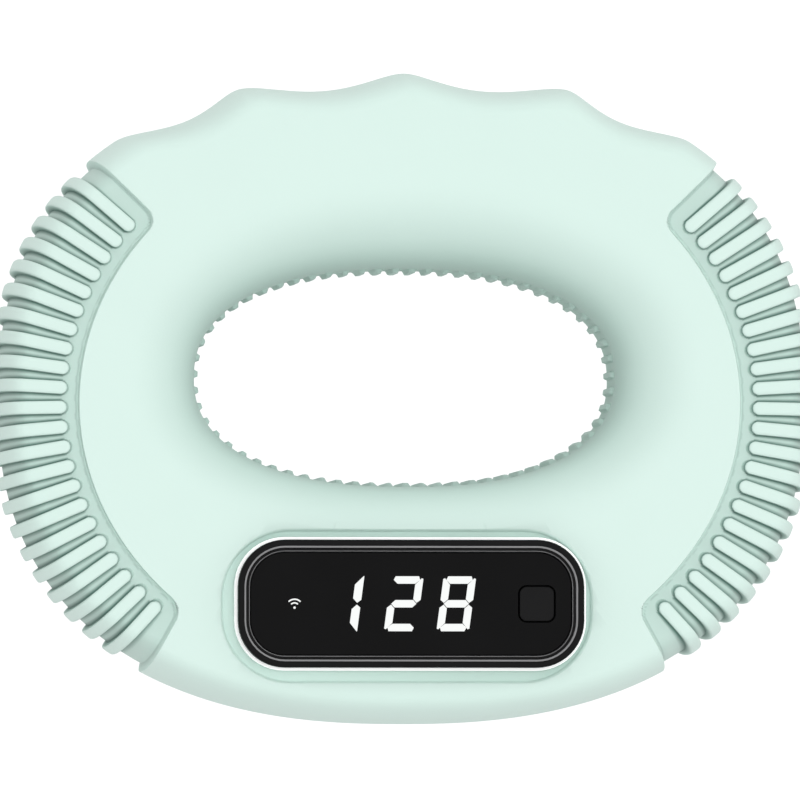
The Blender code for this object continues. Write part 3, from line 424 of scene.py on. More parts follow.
# ---------------------------------------------------------------- mesh tools
def linked(name, bm, look, sharp=40.0):
    """Turns a bmesh in world metres into a smooth-shaded object with crisp edges."""
    bmesh.ops.recalc_face_normals(bm, faces=bm.faces)
    mesh = bpy.data.meshes.new(name)
    bm.to_mesh(mesh)
    bm.free()
    if look:
        mesh.materials.append(look)
    mesh.shade_smooth()
    mesh.set_sharp_from_angle(angle=math.radians(sharp))
    made = bpy.data.objects.new(name, mesh)
    bpy.context.scene.collection.objects.link(made)
    return made


def rounded_box(size_x, size_y, radius, x=MODULE.x, y=MODULE.y, steps=12):
    """Plan outline of a box with round corners, as a closed list of points."""
    points = []
    for quarter, (sx, sy) in enumerate(((1, 1), (-1, 1), (-1, -1), (1, -1))):
        cx, cy = x + sx * (size_x / 2 - radius), y + sy * (size_y / 2 - radius)
        for k in range(steps + 1):
            turn = math.pi / 2 * (quarter + k / steps)
            points.append((cx + radius * math.cos(turn), cy + radius * math.sin(turn)))
    return points


def loft(loops, ring=False):
    """A closed solid through (outline, z) loops; a ring joins its last loop to its first."""
    bm = bmesh.new()
    rows = [[bm.verts.new((px, py, z)) for px, py in outline] for outline, z in loops]
    for lower, upper in zip(rows, rows[1:] + rows[:1] if ring else rows[1:]):
        for i, corner in enumerate(lower):
            j = (i + 1) % len(lower)
            bm.faces.new((corner, lower[j], upper[j], upper[i]))
    if not ring:
        bm.faces.new(rows[0])
        bm.faces.new(rows[-1])
    return bm


def cut(target, tool_bm):
    """Takes the tool's solid off the target."""
    tool = linked("tool", tool_bm, None)
    modifier = target.modifiers.new("cut", "BOOLEAN")
    modifier.operation, modifier.object, modifier.solver = "DIFFERENCE", tool, "MANIFOLD"
    graph = bpy.context.evaluated_depsgraph_get()
    graph.update()
    mesh = bpy.data.meshes.new_from_object(target.evaluated_get(graph))
    target.modifiers.clear()
    target.data = mesh
    bpy.data.objects.remove(tool, do_unlink=True)


def soft_step(values):
    values = np.clip(values, 0.0, 1.0)
    return values * values * (3 - 2 * values)


def round_over(values, power):
    """1 in the middle, falling to 0 at 1 like the shoulder of a superellipse."""
    return (1 - np.clip(values, 0.0, 1.0) ** power) ** (1 / power)


# ---------------------------------------------------------------- the ring's plan
def rib_angle(k):
    return RIB_FIRST - RIB_STEP * k - RIB_STEP_GROWTH * k * k


def ellipse(span, degrees):
    """Points on an ellipse and its outward unit normals there."""
    turn = np.radians(degrees)
    ring = np.stack((np.cos(turn), np.sin(turn)), -1)
    normals = ring * span[::-1]
    return RIB_CENTRE + ring * span, normals / np.linalg.norm(normals, axis=-1, keepdims=True)


def power_level(points, half, power):
    """Negative inside the superellipse, positive outside it."""
    return (np.abs(points / half) ** power).sum(-1) - 1


def crossing(origin, direction, level, near, far):
    """How far along each direction the level turns positive."""
    near, far = np.full(len(origin), near), np.full(len(origin), far)
    for _ in range(40):
        middle = (near + far) / 2
        inside = level(origin + direction * middle[:, None]) < 0
        near, far = np.where(inside, middle, near), np.where(inside, far, middle)
    return (near + far) / 2


def outline_level(points):
    return power_level(points, np.array((RING_HALF.x, RING_HALF.y)), OUTLINE_POWER)


BAND_CENTRE = np.array((0.0, (BAND_LOW.y + BAND_HIGH.y) / 2))
BAND_INNER = np.array((BAND_HALF.x, BAND_HALF.y)) - BAND_COVER
HOLE_CENTRE = BAND_CENTRE + np.array(HOLE_SHIFT)
HOLE_HALF = BAND_INNER - np.array(HOLE_TRIM)


def hole_level(points):
    return power_level(points - HOLE_CENTRE, HOLE_HALF, HOLE_POWER)


def groove_at(points):
    """Depth of the finger grooves: soft peaks with round hollows between them."""
    depth = np.zeros(len(points))
    soft = PEAK_SOFTNESS
    for left, right in zip(GROOVE_PEAKS, GROOVE_PEAKS[1:]):
        x, y = points[:, 0], points[:, 1]
        wave = np.sin(np.pi * np.clip((x - left) / (right - left), 0, 1))
        swell = (np.sqrt(wave ** 2 + soft ** 2) - soft) / (math.sqrt(1 + soft ** 2) - soft)
        depth = np.where((x > left) & (x < right) & (y > 0), GROOVE_DEPTH * swell, depth)
    return depth


LINE_REACH = 0.00009  # how far the painted shade line beside a rib reaches out from it


def unit(degrees):
    return np.array((math.cos(math.radians(degrees)), math.sin(math.radians(degrees))))


def end_wall(degrees, wall_degrees):
    """A recess end wall: its angle, start and direction, and its foot on the ribs' ellipse."""
    corner = ellipse(RECESS_SPAN, degrees)[0]
    along = unit(wall_degrees)
    step = crossing(corner[None], along[None],
                    lambda spot: power_level(spot - RIB_CENTRE, RIB_SPAN, 2.0), 0.0, 0.01)[0]
    foot = corner + along * step
    share = (foot - RIB_CENTRE) / RIB_SPAN
    angle = math.degrees(math.atan2(share[1], share[0]))
    return angle, foot, along


def beside(degrees, origin, along, offsets):
    """Columns at fixed distances from a line: rows of angle, origin, direction and tip shift."""
    across = np.array((-along[1], along[0]))
    turn = math.radians(degrees)
    speed = math.radians(math.hypot(RIB_SPAN[0] * math.sin(turn), RIB_SPAN[1] * math.cos(turn)))
    return np.array([(degrees + off / speed, *(origin + across * off), *along, 0.0)
                     for off in offsets])


def rays(degrees):
    points, normals = ellipse(RIB_SPAN, np.asarray(degrees))
    return np.column_stack((degrees, points, normals, np.zeros(len(points))))


def columns(rib_width):
    """The grid's columns on the right half, from the palm's middle to the fingers' middle."""
    half = rib_width / 2
    outside = 1 + LINE_REACH / half
    shoulders = np.array((-outside, -1, -0.92, -0.75, -0.45, 0, 0.45, 0.75, 0.92, 1, outside)) * half
    shift = half - np.sqrt(np.maximum(half ** 2 - shoulders ** 2, 0))
    low = end_wall(RECESS_BOTTOM, RECESS_BOTTOM_WALL)
    high = end_wall(RECESS_TOP, RECESS_TOP_WALL)
    groups = [(rays(np.linspace(-90, -50.5, 46)), 6)]
    groups.append((beside(*low, np.array((-0.3, -0.15, -0.03, 0.1, 0.25, 0.42, 0.65, 0.95, 1.3)) * MM), 1))
    for k in reversed(range(RIB_COUNT)):
        tip, normal = ellipse(RIB_SPAN, rib_angle(k))
        rib = beside(rib_angle(k), tip, normal, shoulders)
        rib[:, 5] = shift
        groups.append((rib, 1))
    near_top = np.array((-1.5, -1.15, -0.85, -0.6, -0.4, -0.25, -0.12, 0, 0.12, 0.3)) * MM
    groups.append((beside(*high, near_top), 6))
    groups.append((rays(np.linspace(44.0, 90, 90)), 0))
    rows = []
    for (group, between), (after, _) in zip(groups, groups[1:] + groups[:1]):
        rows.append(group)
        shares = np.arange(1, between + 1)[:, None] / (between + 1)
        rows.append(group[-1] * (1 - shares) + after[0] * shares)
    table = np.concatenate(rows)
    table[:, 3:5] /= np.linalg.norm(table[:, 3:5], axis=1, keepdims=True)
    return table


# Rows of the grid across the recess's inner edge and the ribs' tips, in mm from the ribs' ellipse
EDGE_ROWS = (-1.7, -1.5, -1.42, -1.35, -1.28, -1.21, -1.14, -1.06, -0.85, -0.65, -0.45, -0.28,
             -0.1, 0.0, 0.03, 0.09, 0.18, 0.4, 0.9, 2.4)
WALL_ROWS = (0.0, 0.4, 0.7, 0.78, 0.84, 0.89, 0.94)  # shares of the hole wall's height
FILLET_ROWS, FLAT_ROWS, CROWN_ROWS = 10, 5, 13


def recess_depth(points, corner):
    """Distance into the recess on either side, with rounded inner corners."""
    points = np.stack((np.abs(points[..., 0]), points[..., 1]), -1)
    scaled = (points - RIB_CENTRE) / RECESS_SPAN
    level = np.linalg.norm(scaled, axis=-1)
    slope = np.linalg.norm(scaled / RECESS_SPAN, axis=-1) / np.maximum(level, 1e-9)
    inner = (level - 1) / slope
    walls = []
    ends = ((RECESS_TOP, RECESS_TOP_WALL, 1), (RECESS_BOTTOM, RECESS_BOTTOM_WALL, -1))
    for degrees, wall, side in ends:
        along = unit(wall)
        inward = side * np.array((along[1], -along[0]))
        walls.append((points - ellipse(RECESS_SPAN, degrees)[0]) @ inward)
    end = np.minimum(*walls)
    rounded = corner - np.hypot(np.maximum(corner - inner, 0), np.maximum(corner - end, 0))
    return np.minimum(np.minimum(inner, end), rounded)


def rib_distance(points, rib_width):
    """Distance from the nearest rib's centre line, and how much the way out from it points to +X."""
    side = np.sign(points[..., 0])
    points = np.stack((np.abs(points[..., 0]), points[..., 1]), -1)
    nearest, facing = np.full(points.shape[:-1], 1.0), np.zeros(points.shape[:-1])
    for k in range(RIB_COUNT):
        tip, normal = ellipse(RIB_SPAN, rib_angle(k))
        reach = points - (tip + normal * rib_width / 2)
        tangent = np.array((-normal[1], normal[0]))
        along, across = np.minimum(reach @ normal, 0), reach @ tangent
        distance = np.hypot(along, across)
        out = (along * normal[0] + across * tangent[0]) / np.maximum(distance, 1e-9)
        facing = np.where(distance < nearest, out, facing)
        nearest = np.minimum(nearest, distance)
    return nearest, facing * side


def skin_grid(settings):
    """Points of the silicone's surface as (columns, rows, xyz) for the right half."""
    table = columns(settings.rib_width)
    degrees, origin, along, shift = table[:, 0], table[:, 1:3], table[:, 3:5], table[:, 5]
    ray_origin, ray_along = ellipse(RIB_SPAN, degrees)
    half = RING_HALF.z
    inner = crossing(ray_origin, ray_along, hole_level, -0.9 * RIB_SPAN[1], 0.0)
    outer = crossing(origin, along, outline_level, 0.0, 2 * RING_HALF.x)
    outer -= groove_at(origin + along * outer[:, None])
    down = np.maximum(0.0, -np.sin(np.radians(degrees)))
    fillet = settings.fillet + (settings.palm_fillet - settings.fillet) * soft_step(down)
    start, crown = inner + fillet, outer - settings.crown
    reach, heights = [], []
    for share in WALL_ROWS:
        reach.append(inner)
        heights.append(share * (half - fillet))
    for turn in np.linspace(0, np.pi / 2, FILLET_ROWS):
        reach.append(inner + fillet * (1 - np.cos(turn)))
        heights.append(half - fillet * (1 - np.sin(turn)))
    last = EDGE_ROWS[-1] * MM
    squeeze = np.minimum(1.0, (crown - start) / (last * 1.1 - start))
    flat = np.linspace(0, 1, FLAT_ROWS + 2)[1:-1]
    marks = [start + (EDGE_ROWS[0] * MM - start) * share for share in flat]
    marks += [mark * MM + shift * float(soft_step(np.array((mark + 1.0) / 0.8)))
              * (1 - float(soft_step(np.array((mark - 0.3) / 2.0)))) for mark in EDGE_ROWS]
    for mark in marks:
        reach.append(start + (mark - start) * squeeze)
        heights.append(np.full(len(start), half))
    for turn in np.linspace(0, np.pi / 2, CROWN_ROWS):
        reach.append(crown + settings.crown * math.sin(turn) ** (2 / CROWN_POWER))
        heights.append(np.full(len(start), half * max(0.0, math.cos(turn)) ** (2 / CROWN_POWER)))
    heights[-1] = np.zeros(len(start))
    reach, heights = np.stack(reach, 1), np.stack(heights, 1)

    def placed(distance):
        near = ray_origin[:, None] + ray_along[:, None] * distance[..., None]
        far = origin[:, None] + along[:, None] * distance[..., None]
        share = soft_step(distance / (1.6 * MM) + 1)[..., None]
        return near * (1 - share) + far * share

    inset, width = settings.rib_height, (outer - inner)[:, None]
    sunk = inner[:, None] + inset + (reach - inner[:, None]) * (width - 2 * inset) / width
    top, floor = placed(reach), placed(sunk)
    depth = soft_step(recess_depth(top, settings.corner) / settings.edge + 0.5)
    rise = round_over(rib_distance(top, settings.rib_width)[0] / (settings.rib_width / 2), 6.0)
    lowered = (depth * (1 - rise))[..., None]
    plan = top * (1 - lowered) + floor * lowered
    plan = stand_ridges(settings, plan, inner, ray_origin, ray_along)
    z = heights * (1 - lowered[..., 0] * inset / half)
    return np.concatenate((plan, z[..., None]), -1)


def stand_ridges(settings, plan, inner, ray_origin, ray_along):
    """Moves the hole's wall inwards where the short ridges stand."""
    wall = ray_origin + ray_along * inner[:, None]
    steps = np.linalg.norm(np.diff(wall, axis=0), axis=1)
    travelled = np.concatenate(((0.0,), np.cumsum(steps)))
    pitch = 2 * travelled[-1] / settings.ridges
    off = np.abs(travelled / pitch - np.round(travelled / pitch)) * pitch
    flank = settings.ridge_width * 0.28
    ridge = soft_step((settings.ridge_width / 2 + flank / 2 - off) / flank)
    inward = -np.sign(wall - HOLE_CENTRE) * (np.abs(wall - HOLE_CENTRE) / HOLE_HALF) ** (HOLE_POWER - 1)
    inward = inward / HOLE_HALF
    inward /= np.linalg.norm(inward, axis=1, keepdims=True)
    for row, share in enumerate(WALL_ROWS):
        end = round_over(np.array(max(0.0, share - 0.70) / 0.24), 2.0)
        plan[:, row] += inward * (settings.ridge_height * ridge * float(end))[:, None]
    return plan


def skin_mesh(settings):
    """The whole skin: the right half's grid, its mirror image and its back, as one closed mesh."""
    front = skin_grid(settings)
    back = front[:, -2:0:-1] * np.array((1, 1, -1))
    section = np.concatenate((front, back), 1)
    left = section[-2:0:-1] * np.array((-1, 1, 1))
    points = np.concatenate((section, left), 0)
    points[..., 2] += MIDDLE_Z
    count, rows = points.shape[:2]
    index = np.arange(count * rows).reshape(count, rows)
    after, above = np.roll(index, -1, 0), np.roll(index, -1, 1)
    corner = np.roll(after, -1, 1)
    quads = np.stack((index, after, corner, above), -1).reshape(-1, 4)
    mesh = bpy.data.meshes.new("grip_skin")
    mesh.from_pydata(points.reshape(-1, 3), [], quads)
    bm = bmesh.new()
    bm.from_mesh(mesh)
    bpy.data.meshes.remove(mesh)
    return bm


def module_pocket(settings):
    """The moat round the display and the way through for the module, with its lip groove."""
    display = bpy.context.scene.display_look
    trim_x, trim_y = TRIM_HIGH.x - TRIM_LOW.x, TRIM_HIGH.y - TRIM_LOW.y
    long, wide = trim_x + 2 * settings.moat, trim_y + 2 * settings.moat
    shift = (MODULE.x - 0.00035, MODULE.y - 0.00025)
    floor = FACE_Z - settings.moat_depth
    moat = [(rounded_box(long + grow, wide + grow, settings.moat_radius + grow / 2, *shift, 20), z)
            for grow, z in ((-0.0005, floor), (-0.0003, floor + 0.0001), (0.0, FACE_Z - 0.00012),
                            (0.0001, FACE_Z - 0.00003), (0.0003, FACE_Z + 0.00005),
                            (0.0003, FACE_Z + 0.001))]
    case_x, case_y = COVER_HIGH.x - COVER_LOW.x, COVER_HIGH.y - COVER_LOW.y
    radius = display.radius - 0.0006
    pocket = rounded_box(case_x + 2 * GAP, case_y + 2 * GAP, radius + GAP)
    lip = CASE_HIGH.x - COVER_HIGH.x + GAP
    groove = rounded_box(case_x + 2 * lip, case_y + 2 * lip, radius + lip)
    low, high = LIP_BOTTOM - GAP, LIP_TOP + GAP
    ease = rounded_box(case_x + 4 * GAP, case_y + 4 * GAP, radius + 2 * GAP)
    way = [(ease, RING_LOW.z - 0.001), (ease, RING_LOW.z), (pocket, RING_LOW.z + GAP), (pocket, low),
           (groove, low), (groove, high), (pocket, high), (pocket, FACE_Z + 0.001)]
    return loft(moat), loft(way)


def oval(grow, steps=180):
    """The hole's superellipse round the band's centre, grown by a distance."""
    turns = np.arange(steps) * 2 * np.pi / steps
    ring = np.stack((np.cos(turns), np.sin(turns)), -1)
    ring = np.sign(ring) * np.abs(ring) ** (2 / HOLE_POWER)
    return [tuple(point) for point in BAND_CENTRE + ring * (BAND_INNER + grow)]


def mark_painted_shade(mesh, settings):
    """Stores how much painted shade each point gets: on the recess's floor, and in the lines beside the ribs,
    along the recess wall, round the hole and in the moat.
    """
    points = np.zeros(len(mesh.vertices) * 3, np.float32)
    mesh.vertices.foreach_get("co", points)
    points = points.reshape(-1, 3).astype(float)
    plan = points[:, :2]
    depth = recess_depth(plan, settings.corner)
    from_rib, facing = rib_distance(plan, settings.rib_width)
    from_rib -= settings.rib_width / 2
    inside = soft_step(depth / settings.edge + 0.5)
    # painted shade: the recess's floor darker between the ribs, where shade falls
    floor = inside * soft_step(from_rib / (0.1 * MM) + 1)
    # painted shade: dark lines beside the ribs, darker on the edges that face -X, away from the light
    near = soft_step((from_rib + 0.05 * MM) / (0.04 * MM)) * soft_step((0.2 * MM - from_rib) / (0.11 * MM))
    line = inside * near * np.clip(0.90 - 0.25 * facing, 0, 1)
    # painted shadow: a soft dark band on the recess floor along its wall, where the wall's shadow falls
    foot = np.exp(-((depth - 0.22 * MM) / (0.16 * MM)) ** 2) * soft_step(from_rib / (0.1 * MM))
    off_middle = np.abs(points[:, 2] - MIDDLE_Z)
    # painted shade: the hole's wall and fillets darker, where the hole shades them
    wall = soft_step((0.0080 - hole_distance(plan)) / 0.0030)
    hole_wall_shade = wall * soft_step((RING_HALF.z - off_middle) / 0.0075)
    hole_wall_shade = np.maximum(hole_wall_shade, 0.25 * soft_step((0.0090 - hole_distance(plan)) / 0.0060))
    # painted shade: the moat's floor darker, most on its top and right sides, away from the light
    away = (plan - np.array((MODULE.x, MODULE.y))) / np.array((BEZEL_LENGTH, BEZEL_WIDTH)) * 2
    sunk = (points[:, 2] < FACE_Z - 0.0002) & (points[:, 2] > FACE_Z - 2 * settings.moat_depth)
    size = np.array((BEZEL_LENGTH, BEZEL_WIDTH)) / 2 + 2 * settings.moat
    corner = np.maximum(np.abs(plan - np.array((MODULE.x, MODULE.y))) - (size - settings.moat_radius), 0)
    moat = sunk & (np.hypot(*corner.T) < settings.moat_radius)
    far = moat * (0.3 + 0.7 * soft_step((away.max(1) - 0.4) / 0.6))
    # painted shade: the rib lines, the wall's shadow, and the hole's and the moat's shade all go into the
    # line attribute; the recess floor's shade goes into floor
    line = np.maximum.reduce((line, 0.45 * foot, settings.hole_painted_shade * hole_wall_shade, settings.moat_painted_shade * far))
    for name, values in (("floor", floor), ("line", line)):
        mesh.attributes.new(name, "FLOAT", "POINT").data.foreach_set("value", values.astype(np.float32))


def hole_distance(points):
    """Rough distance outside the hole's outline."""
    scaled = np.abs((points - HOLE_CENTRE) / HOLE_HALF)
    level = (scaled ** HOLE_POWER).sum(-1) ** (1 / HOLE_POWER)
    return (level - 1) * np.linalg.norm(points - HOLE_CENTRE, axis=-1) / np.maximum(level, 1e-9)


# ---------------------------------------------------------------- operators
class GRIP_OT_skin(bpy.types.Operator):
    """Build the ribbed silicone skin in one piece"""

    bl_idname = "grip.skin"
    bl_label = "Silicone skin"

    def execute(self, context):
        settings = context.scene.grip_look
        skin = linked("grip_skin", skin_mesh(settings), silicone(settings))
        for tool in module_pocket(settings):
            cut(skin, tool)
        half = (BAND_HIGH.z - BAND_LOW.z) / 2 + GAP
        loops = [(oval(BAND_COVER + GAP), MIDDLE_Z - half), (oval(BAND_COVER + GAP), MIDDLE_Z + half),
                 (oval(BAND_COVER - BAND_THICKNESS - GAP), MIDDLE_Z + half),
                 (oval(BAND_COVER - BAND_THICKNESS - GAP), MIDDLE_Z - half)]
        cut(skin, loft(loops, ring=True))
        skin.data.shade_smooth()
        skin.data.set_sharp_from_angle(angle=math.radians(42))
        mark_painted_shade(skin.data, settings)
        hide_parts(*GRIPS)
        bend(skin)
        return {"FINISHED"}


def bend(thing):
    """Bakes the piece's placement into its mesh."""
    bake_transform(thing)


class GRIP_OT_band(bpy.types.Operator):
    """Build the spring band inside the ring"""

    bl_idname = "grip.band"
    bl_label = "Spring band"

    def execute(self, context):
        ease = 0.00015
        low, high = BAND_LOW.z, BAND_HIGH.z
        loops = []
        for grow, sign in ((BAND_COVER, 1), (BAND_COVER - BAND_THICKNESS, -1)):
            side = [(oval(grow - sign * ease), low), (oval(grow), low + ease),
                    (oval(grow), high - ease), (oval(grow - sign * ease), high)]
            loops += side if sign > 0 else side[::-1]
        band = linked("band_spring", loft(loops, ring=True), metal("spring_steel", (0.52, 0.53, 0.55), 0.3))
        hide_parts("spring_band")
        bend(band)
        return {"FINISHED"}


class GRIP_OT_bezel(bpy.types.Operator):
    """Build the stepped black bezel with pale lines painted as highlights on its step slopes, and the white
    trim ring with a painted glow
    """

    bl_idname = "grip.bezel"
    bl_label = "Bezel and trim"

    def execute(self, context):
        settings = context.scene.display_look
        top, step = BEZEL_TOP, BEZEL_TOP - 0.0003
        rim, opening = settings.rim, settings.frame
        low = LENS_LOW.z - GAP - 0.001
        profile = [(0.0, TRIM_HIGH.z + GAP), (0.0, top - 0.00016), (0.00005, top - 0.00005),
                   (0.00016, top), (rim - 0.00010, top), (rim + 0.00008, top - 0.00013),
                   (rim + 0.00010, step), (opening - 0.00008, step), (opening, step - 0.00010),
                   (opening, low), (0.0008, low), (0.0008, TRIM_HIGH.z + GAP)]
        bezel = linked("bezel_shell", self.ring(profile, settings),
                       moulded("black_plastic", settings.black, 0.32))
        # painted highlight: the sloped faces of the steps get a pale grey in place of the light they catch
        line = moulded("edge_painted_highlight", settings.line, 0.35)
        bezel.data.materials.append(line)
        for face in bezel.data.polygons:
            lows = [bezel.data.vertices[i].co for i in face.vertices]
            inset = min(self.inset_of(point, settings) for point in lows)
            heights = [point.z for point in lows]
            sloped = max(heights) - min(heights) > 0.00003 and min(heights) > low + 0.0005
            if sloped and inset > rim - 0.0002 and max(heights) - min(heights) < 0.0002:
                face.material_index = 1
        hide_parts("display_bezel")
        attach(bezel, "palm")
        grow = (TRIM_HIGH.x - TRIM_LOW.x - BEZEL_LENGTH) / 2
        trims = [(-grow, TRIM_LOW.z), (-grow, TRIM_HIGH.z - 0.00006),
                 (-grow + 0.00006, TRIM_HIGH.z), (0.0005, TRIM_HIGH.z), (0.0005, TRIM_LOW.z)]
        trim = linked("trim_shell", self.ring(trims, settings),
                      moulded("white_plastic", settings.trim, 0.32))
        # painted light: emission makes the trim ring's plastic glow though it is no lamp
        shader = trim.data.materials[0].node_tree.nodes["Principled BSDF"]
        shader.inputs["Emission Color"].default_value = (1.0, 1.0, 1.0, 1.0)
        shader.inputs["Emission Strength"].default_value = settings.trim_painted_glow
        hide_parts("trim_ring")
        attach(trim, "palm")
        return {"FINISHED"}

    def ring(self, profile, settings):
        """A ring round the display through (inset, height) places."""
        return loft([(rounded_box(BEZEL_LENGTH - 2 * inset, BEZEL_WIDTH - 2 * inset,
                                  settings.radius - inset), z) for inset, z in profile], ring=True)

    def inset_of(self, point, settings):
        """Distance of a point inside the bezel's outline."""
        radius = settings.radius
        x = max(0.0, abs(point.x - MODULE.x) - (BEZEL_LENGTH / 2 - radius))
        y = max(0.0, abs(point.y - MODULE.y) - (BEZEL_WIDTH / 2 - radius))
        return radius - math.hypot(x, y)


class GRIP_OT_lens(bpy.types.Operator):
    """Build the dark lens and the square key in it"""

    bl_idname = "grip.lens"
    bl_label = "Lens and key"

    def execute(self, context):
        settings = context.scene.display_look
        inset = settings.frame + GAP / 3
        top, low = LENS_HIGH.z, LENS_LOW.z
        size = (BEZEL_LENGTH - 2 * inset, BEZEL_WIDTH - 2 * inset)
        radius = settings.radius - inset
        loops = [(rounded_box(*size, radius), low), (rounded_box(*size, radius), top - 0.00006),
                 (rounded_box(size[0] - 0.00012, size[1] - 0.00012, radius - 0.00006), top)]
        lens = linked("lens_glass", loft(loops), glass(settings))
        x, y = (KEY_LOW.x + KEY_HIGH.x) / 2, (KEY_LOW.y + KEY_HIGH.y) / 2
        well = KEY_SIZE + 0.00032
        holes = [(rounded_box(well, well, 0.00096, x, y), low - GAP),
                 (rounded_box(well, well, 0.00096, x, y), top - 0.00005),
                 (rounded_box(well + 0.0001, well + 0.0001, 0.00101, x, y), top + 0.00005),
                 (rounded_box(well + 0.0001, well + 0.0001, 0.00101, x, y), top + GAP)]
        cut(lens, loft(holes))
        lens.data.shade_smooth()
        lens.data.set_sharp_from_angle(angle=math.radians(30))
        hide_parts("display_lens")
        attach(lens, "palm")
        self.build_key(settings, x, y)
        return {"FINISHED"}

    def build_key(self, settings, x, y):
        """The cap with rounded edges and a slight dish, on its flange."""
        top, flange_top = KEY_HIGH.z, LENS_LOW.z - 2 * GAP - 0.001
        flange = KEY_HIGH.x - KEY_LOW.x
        size = KEY_SIZE
        profile = [(flange, 0.0013, KEY_LOW.z), (flange, 0.0013, flange_top), (size, 0.0008, flange_top),
                   (size, 0.0008, top - 0.00014), (size - 0.00008, 0.00077, top - 0.00004),
                   (size - 0.00030, 0.00070, top), (size - 0.0010, 0.00060, top - 0.00003),
                   (size - 0.0020, 0.00050, top - 0.00006), (0.0006, 0.0002, top - 0.00008)]
        loops = [(rounded_box(side, side, radius, x, y), z) for side, radius, z in profile]
        shade = tuple(channel * 1.2 for channel in settings.black)
        key = linked("key_cap", loft(loops), moulded("key_plastic", shade, 0.42))
        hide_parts("power_button")
        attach(key, "button")


SEGMENTS = {"0": "abcdef", "1": "bc", "2": "abged", "3": "abgcd", "4": "fgbc", "5": "afgcd",
            "6": "afgecd", "7": "abc", "8": "abcdefg", "9": "abcdfg"}


class GRIP_OT_digits(bpy.types.Operator):
    """Build the lit digits and the wireless sign on the lens"""

    bl_idname = "grip.digits"
    bl_label = "Digits and sign"

    def execute(self, context):
        settings = context.scene.display_look
        lit = glowing(settings)
        pitch, right = 0.0058, 0.0050
        for place, digit in enumerate(settings.reading):
            if digit not in SEGMENTS:
                self.report({"ERROR"}, f"no segments are known for {digit!r}")
                raise ValueError(digit)
            x = right - pitch * (len(settings.reading) - 1 - place)
            if digit == "1":
                x -= 0.00075
            bm = bmesh.new()
            for segment in SEGMENTS[digit]:
                self.add_plate(bm, self.outline(settings, segment, digit == "1"), MODULE.x + x,
                               math.tan(settings.slant))
            digit_piece = linked(f"digit_{place + 1}", bm, lit)
            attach(digit_piece, "palm")
        sign = linked("link_sign", self.sign(settings), lit)
        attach(sign, "palm")
        return {"FINISHED"}

    def outline(self, settings, segment, alone):
        """One segment's plan round the digit's centre, before the digit leans."""
        a, b, t = settings.digit_width / 2, settings.digit_height / 2, settings.stroke
        gap = 0.00005
        if segment in "agd":
            y = {"a": b - t / 2, "g": 0.0, "d": -b + t / 2}[segment]
            tip, shoulder = a - t * 0.5, a - t
            if segment == "g":
                return [(-tip, y), (-shoulder, y - t / 2), (shoulder, y - t / 2), (tip, y),
                        (shoulder, y + t / 2), (-shoulder, y + t / 2)]
            out = 1 if segment == "a" else -1
            return [(-a + t * 1.0, y - out * t / 2), (a - t * 1.0, y - out * t / 2),
                    (a - t * 0.42, y + out * t * 0.02), (a - t * 0.62, y + out * t / 2),
                    (-a + t * 0.62, y + out * t / 2), (-a + t * 0.42, y + out * t * 0.02)]
        right = 1 if segment in "bc" else -1
        up = 1 if segment in "bf" else -1
        top = b - t * (0.02 if alone else 0.36)
        shoulder = (a - t * (0.05 if alone else 0.22), top + t * 0.10)
        points = [(a - t * 0.5, gap * 2), (a, t * 0.52), (a, top), shoulder,
                  (a - t, b - t - gap * 2), (a - t, t * 0.62)]
        if alone:
            points[3] = (a - t * 0.06, top + gap)
            points[4] = (a - t * 1.12, b - t * 1.12)
            points[5] = (a - t * 1.12, t * 0.72)
        return [(right * x, up * y) for x, y in points]

    def add_plate(self, bm, outline, x, lean=0.0):
        """A thin plate half sunk in the lens, round x from the world's middle."""
        rows = [[bm.verts.new((x + px + py * lean, MODULE.y + py, z)) for px, py in outline]
                for z in (LENS_HIGH.z - PLATE_HALF, LENS_HIGH.z + PLATE_HALF)]
        for i in range(len(outline)):
            j = (i + 1) % len(outline)
            bm.faces.new((rows[0][i], rows[0][j], rows[1][j], rows[1][i]))
        bm.faces.new(rows[0])
        bm.faces.new(rows[1])

    def sign(self, settings):
        """A dot with two arcs over it, centred over the light pipe."""
        bm = bmesh.new()
        x = (PIPE_LOW.x + PIPE_HIGH.x) / 2 + 0.00035
        size = settings.sign_size
        foot = -0.42 * size
        dot = [(0.13 * size * math.cos(t), foot + 0.13 * size * math.sin(t))
               for t in np.arange(16) * math.pi / 8]
        self.add_plate(bm, dot, x)
        for radius in (0.50 * size, 0.88 * size):
            turns = np.linspace(math.radians(45), math.radians(135), 15)
            stroke = 0.075 * size
            outer = [((radius + stroke) * math.cos(t), foot + (radius + stroke) * math.sin(t)) for t in turns]
            inner = [((radius - stroke) * math.cos(t), foot + (radius - stroke) * math.sin(t)) for t in turns]
            self.add_plate(bm, outer + inner[::-1], x)
        return bm


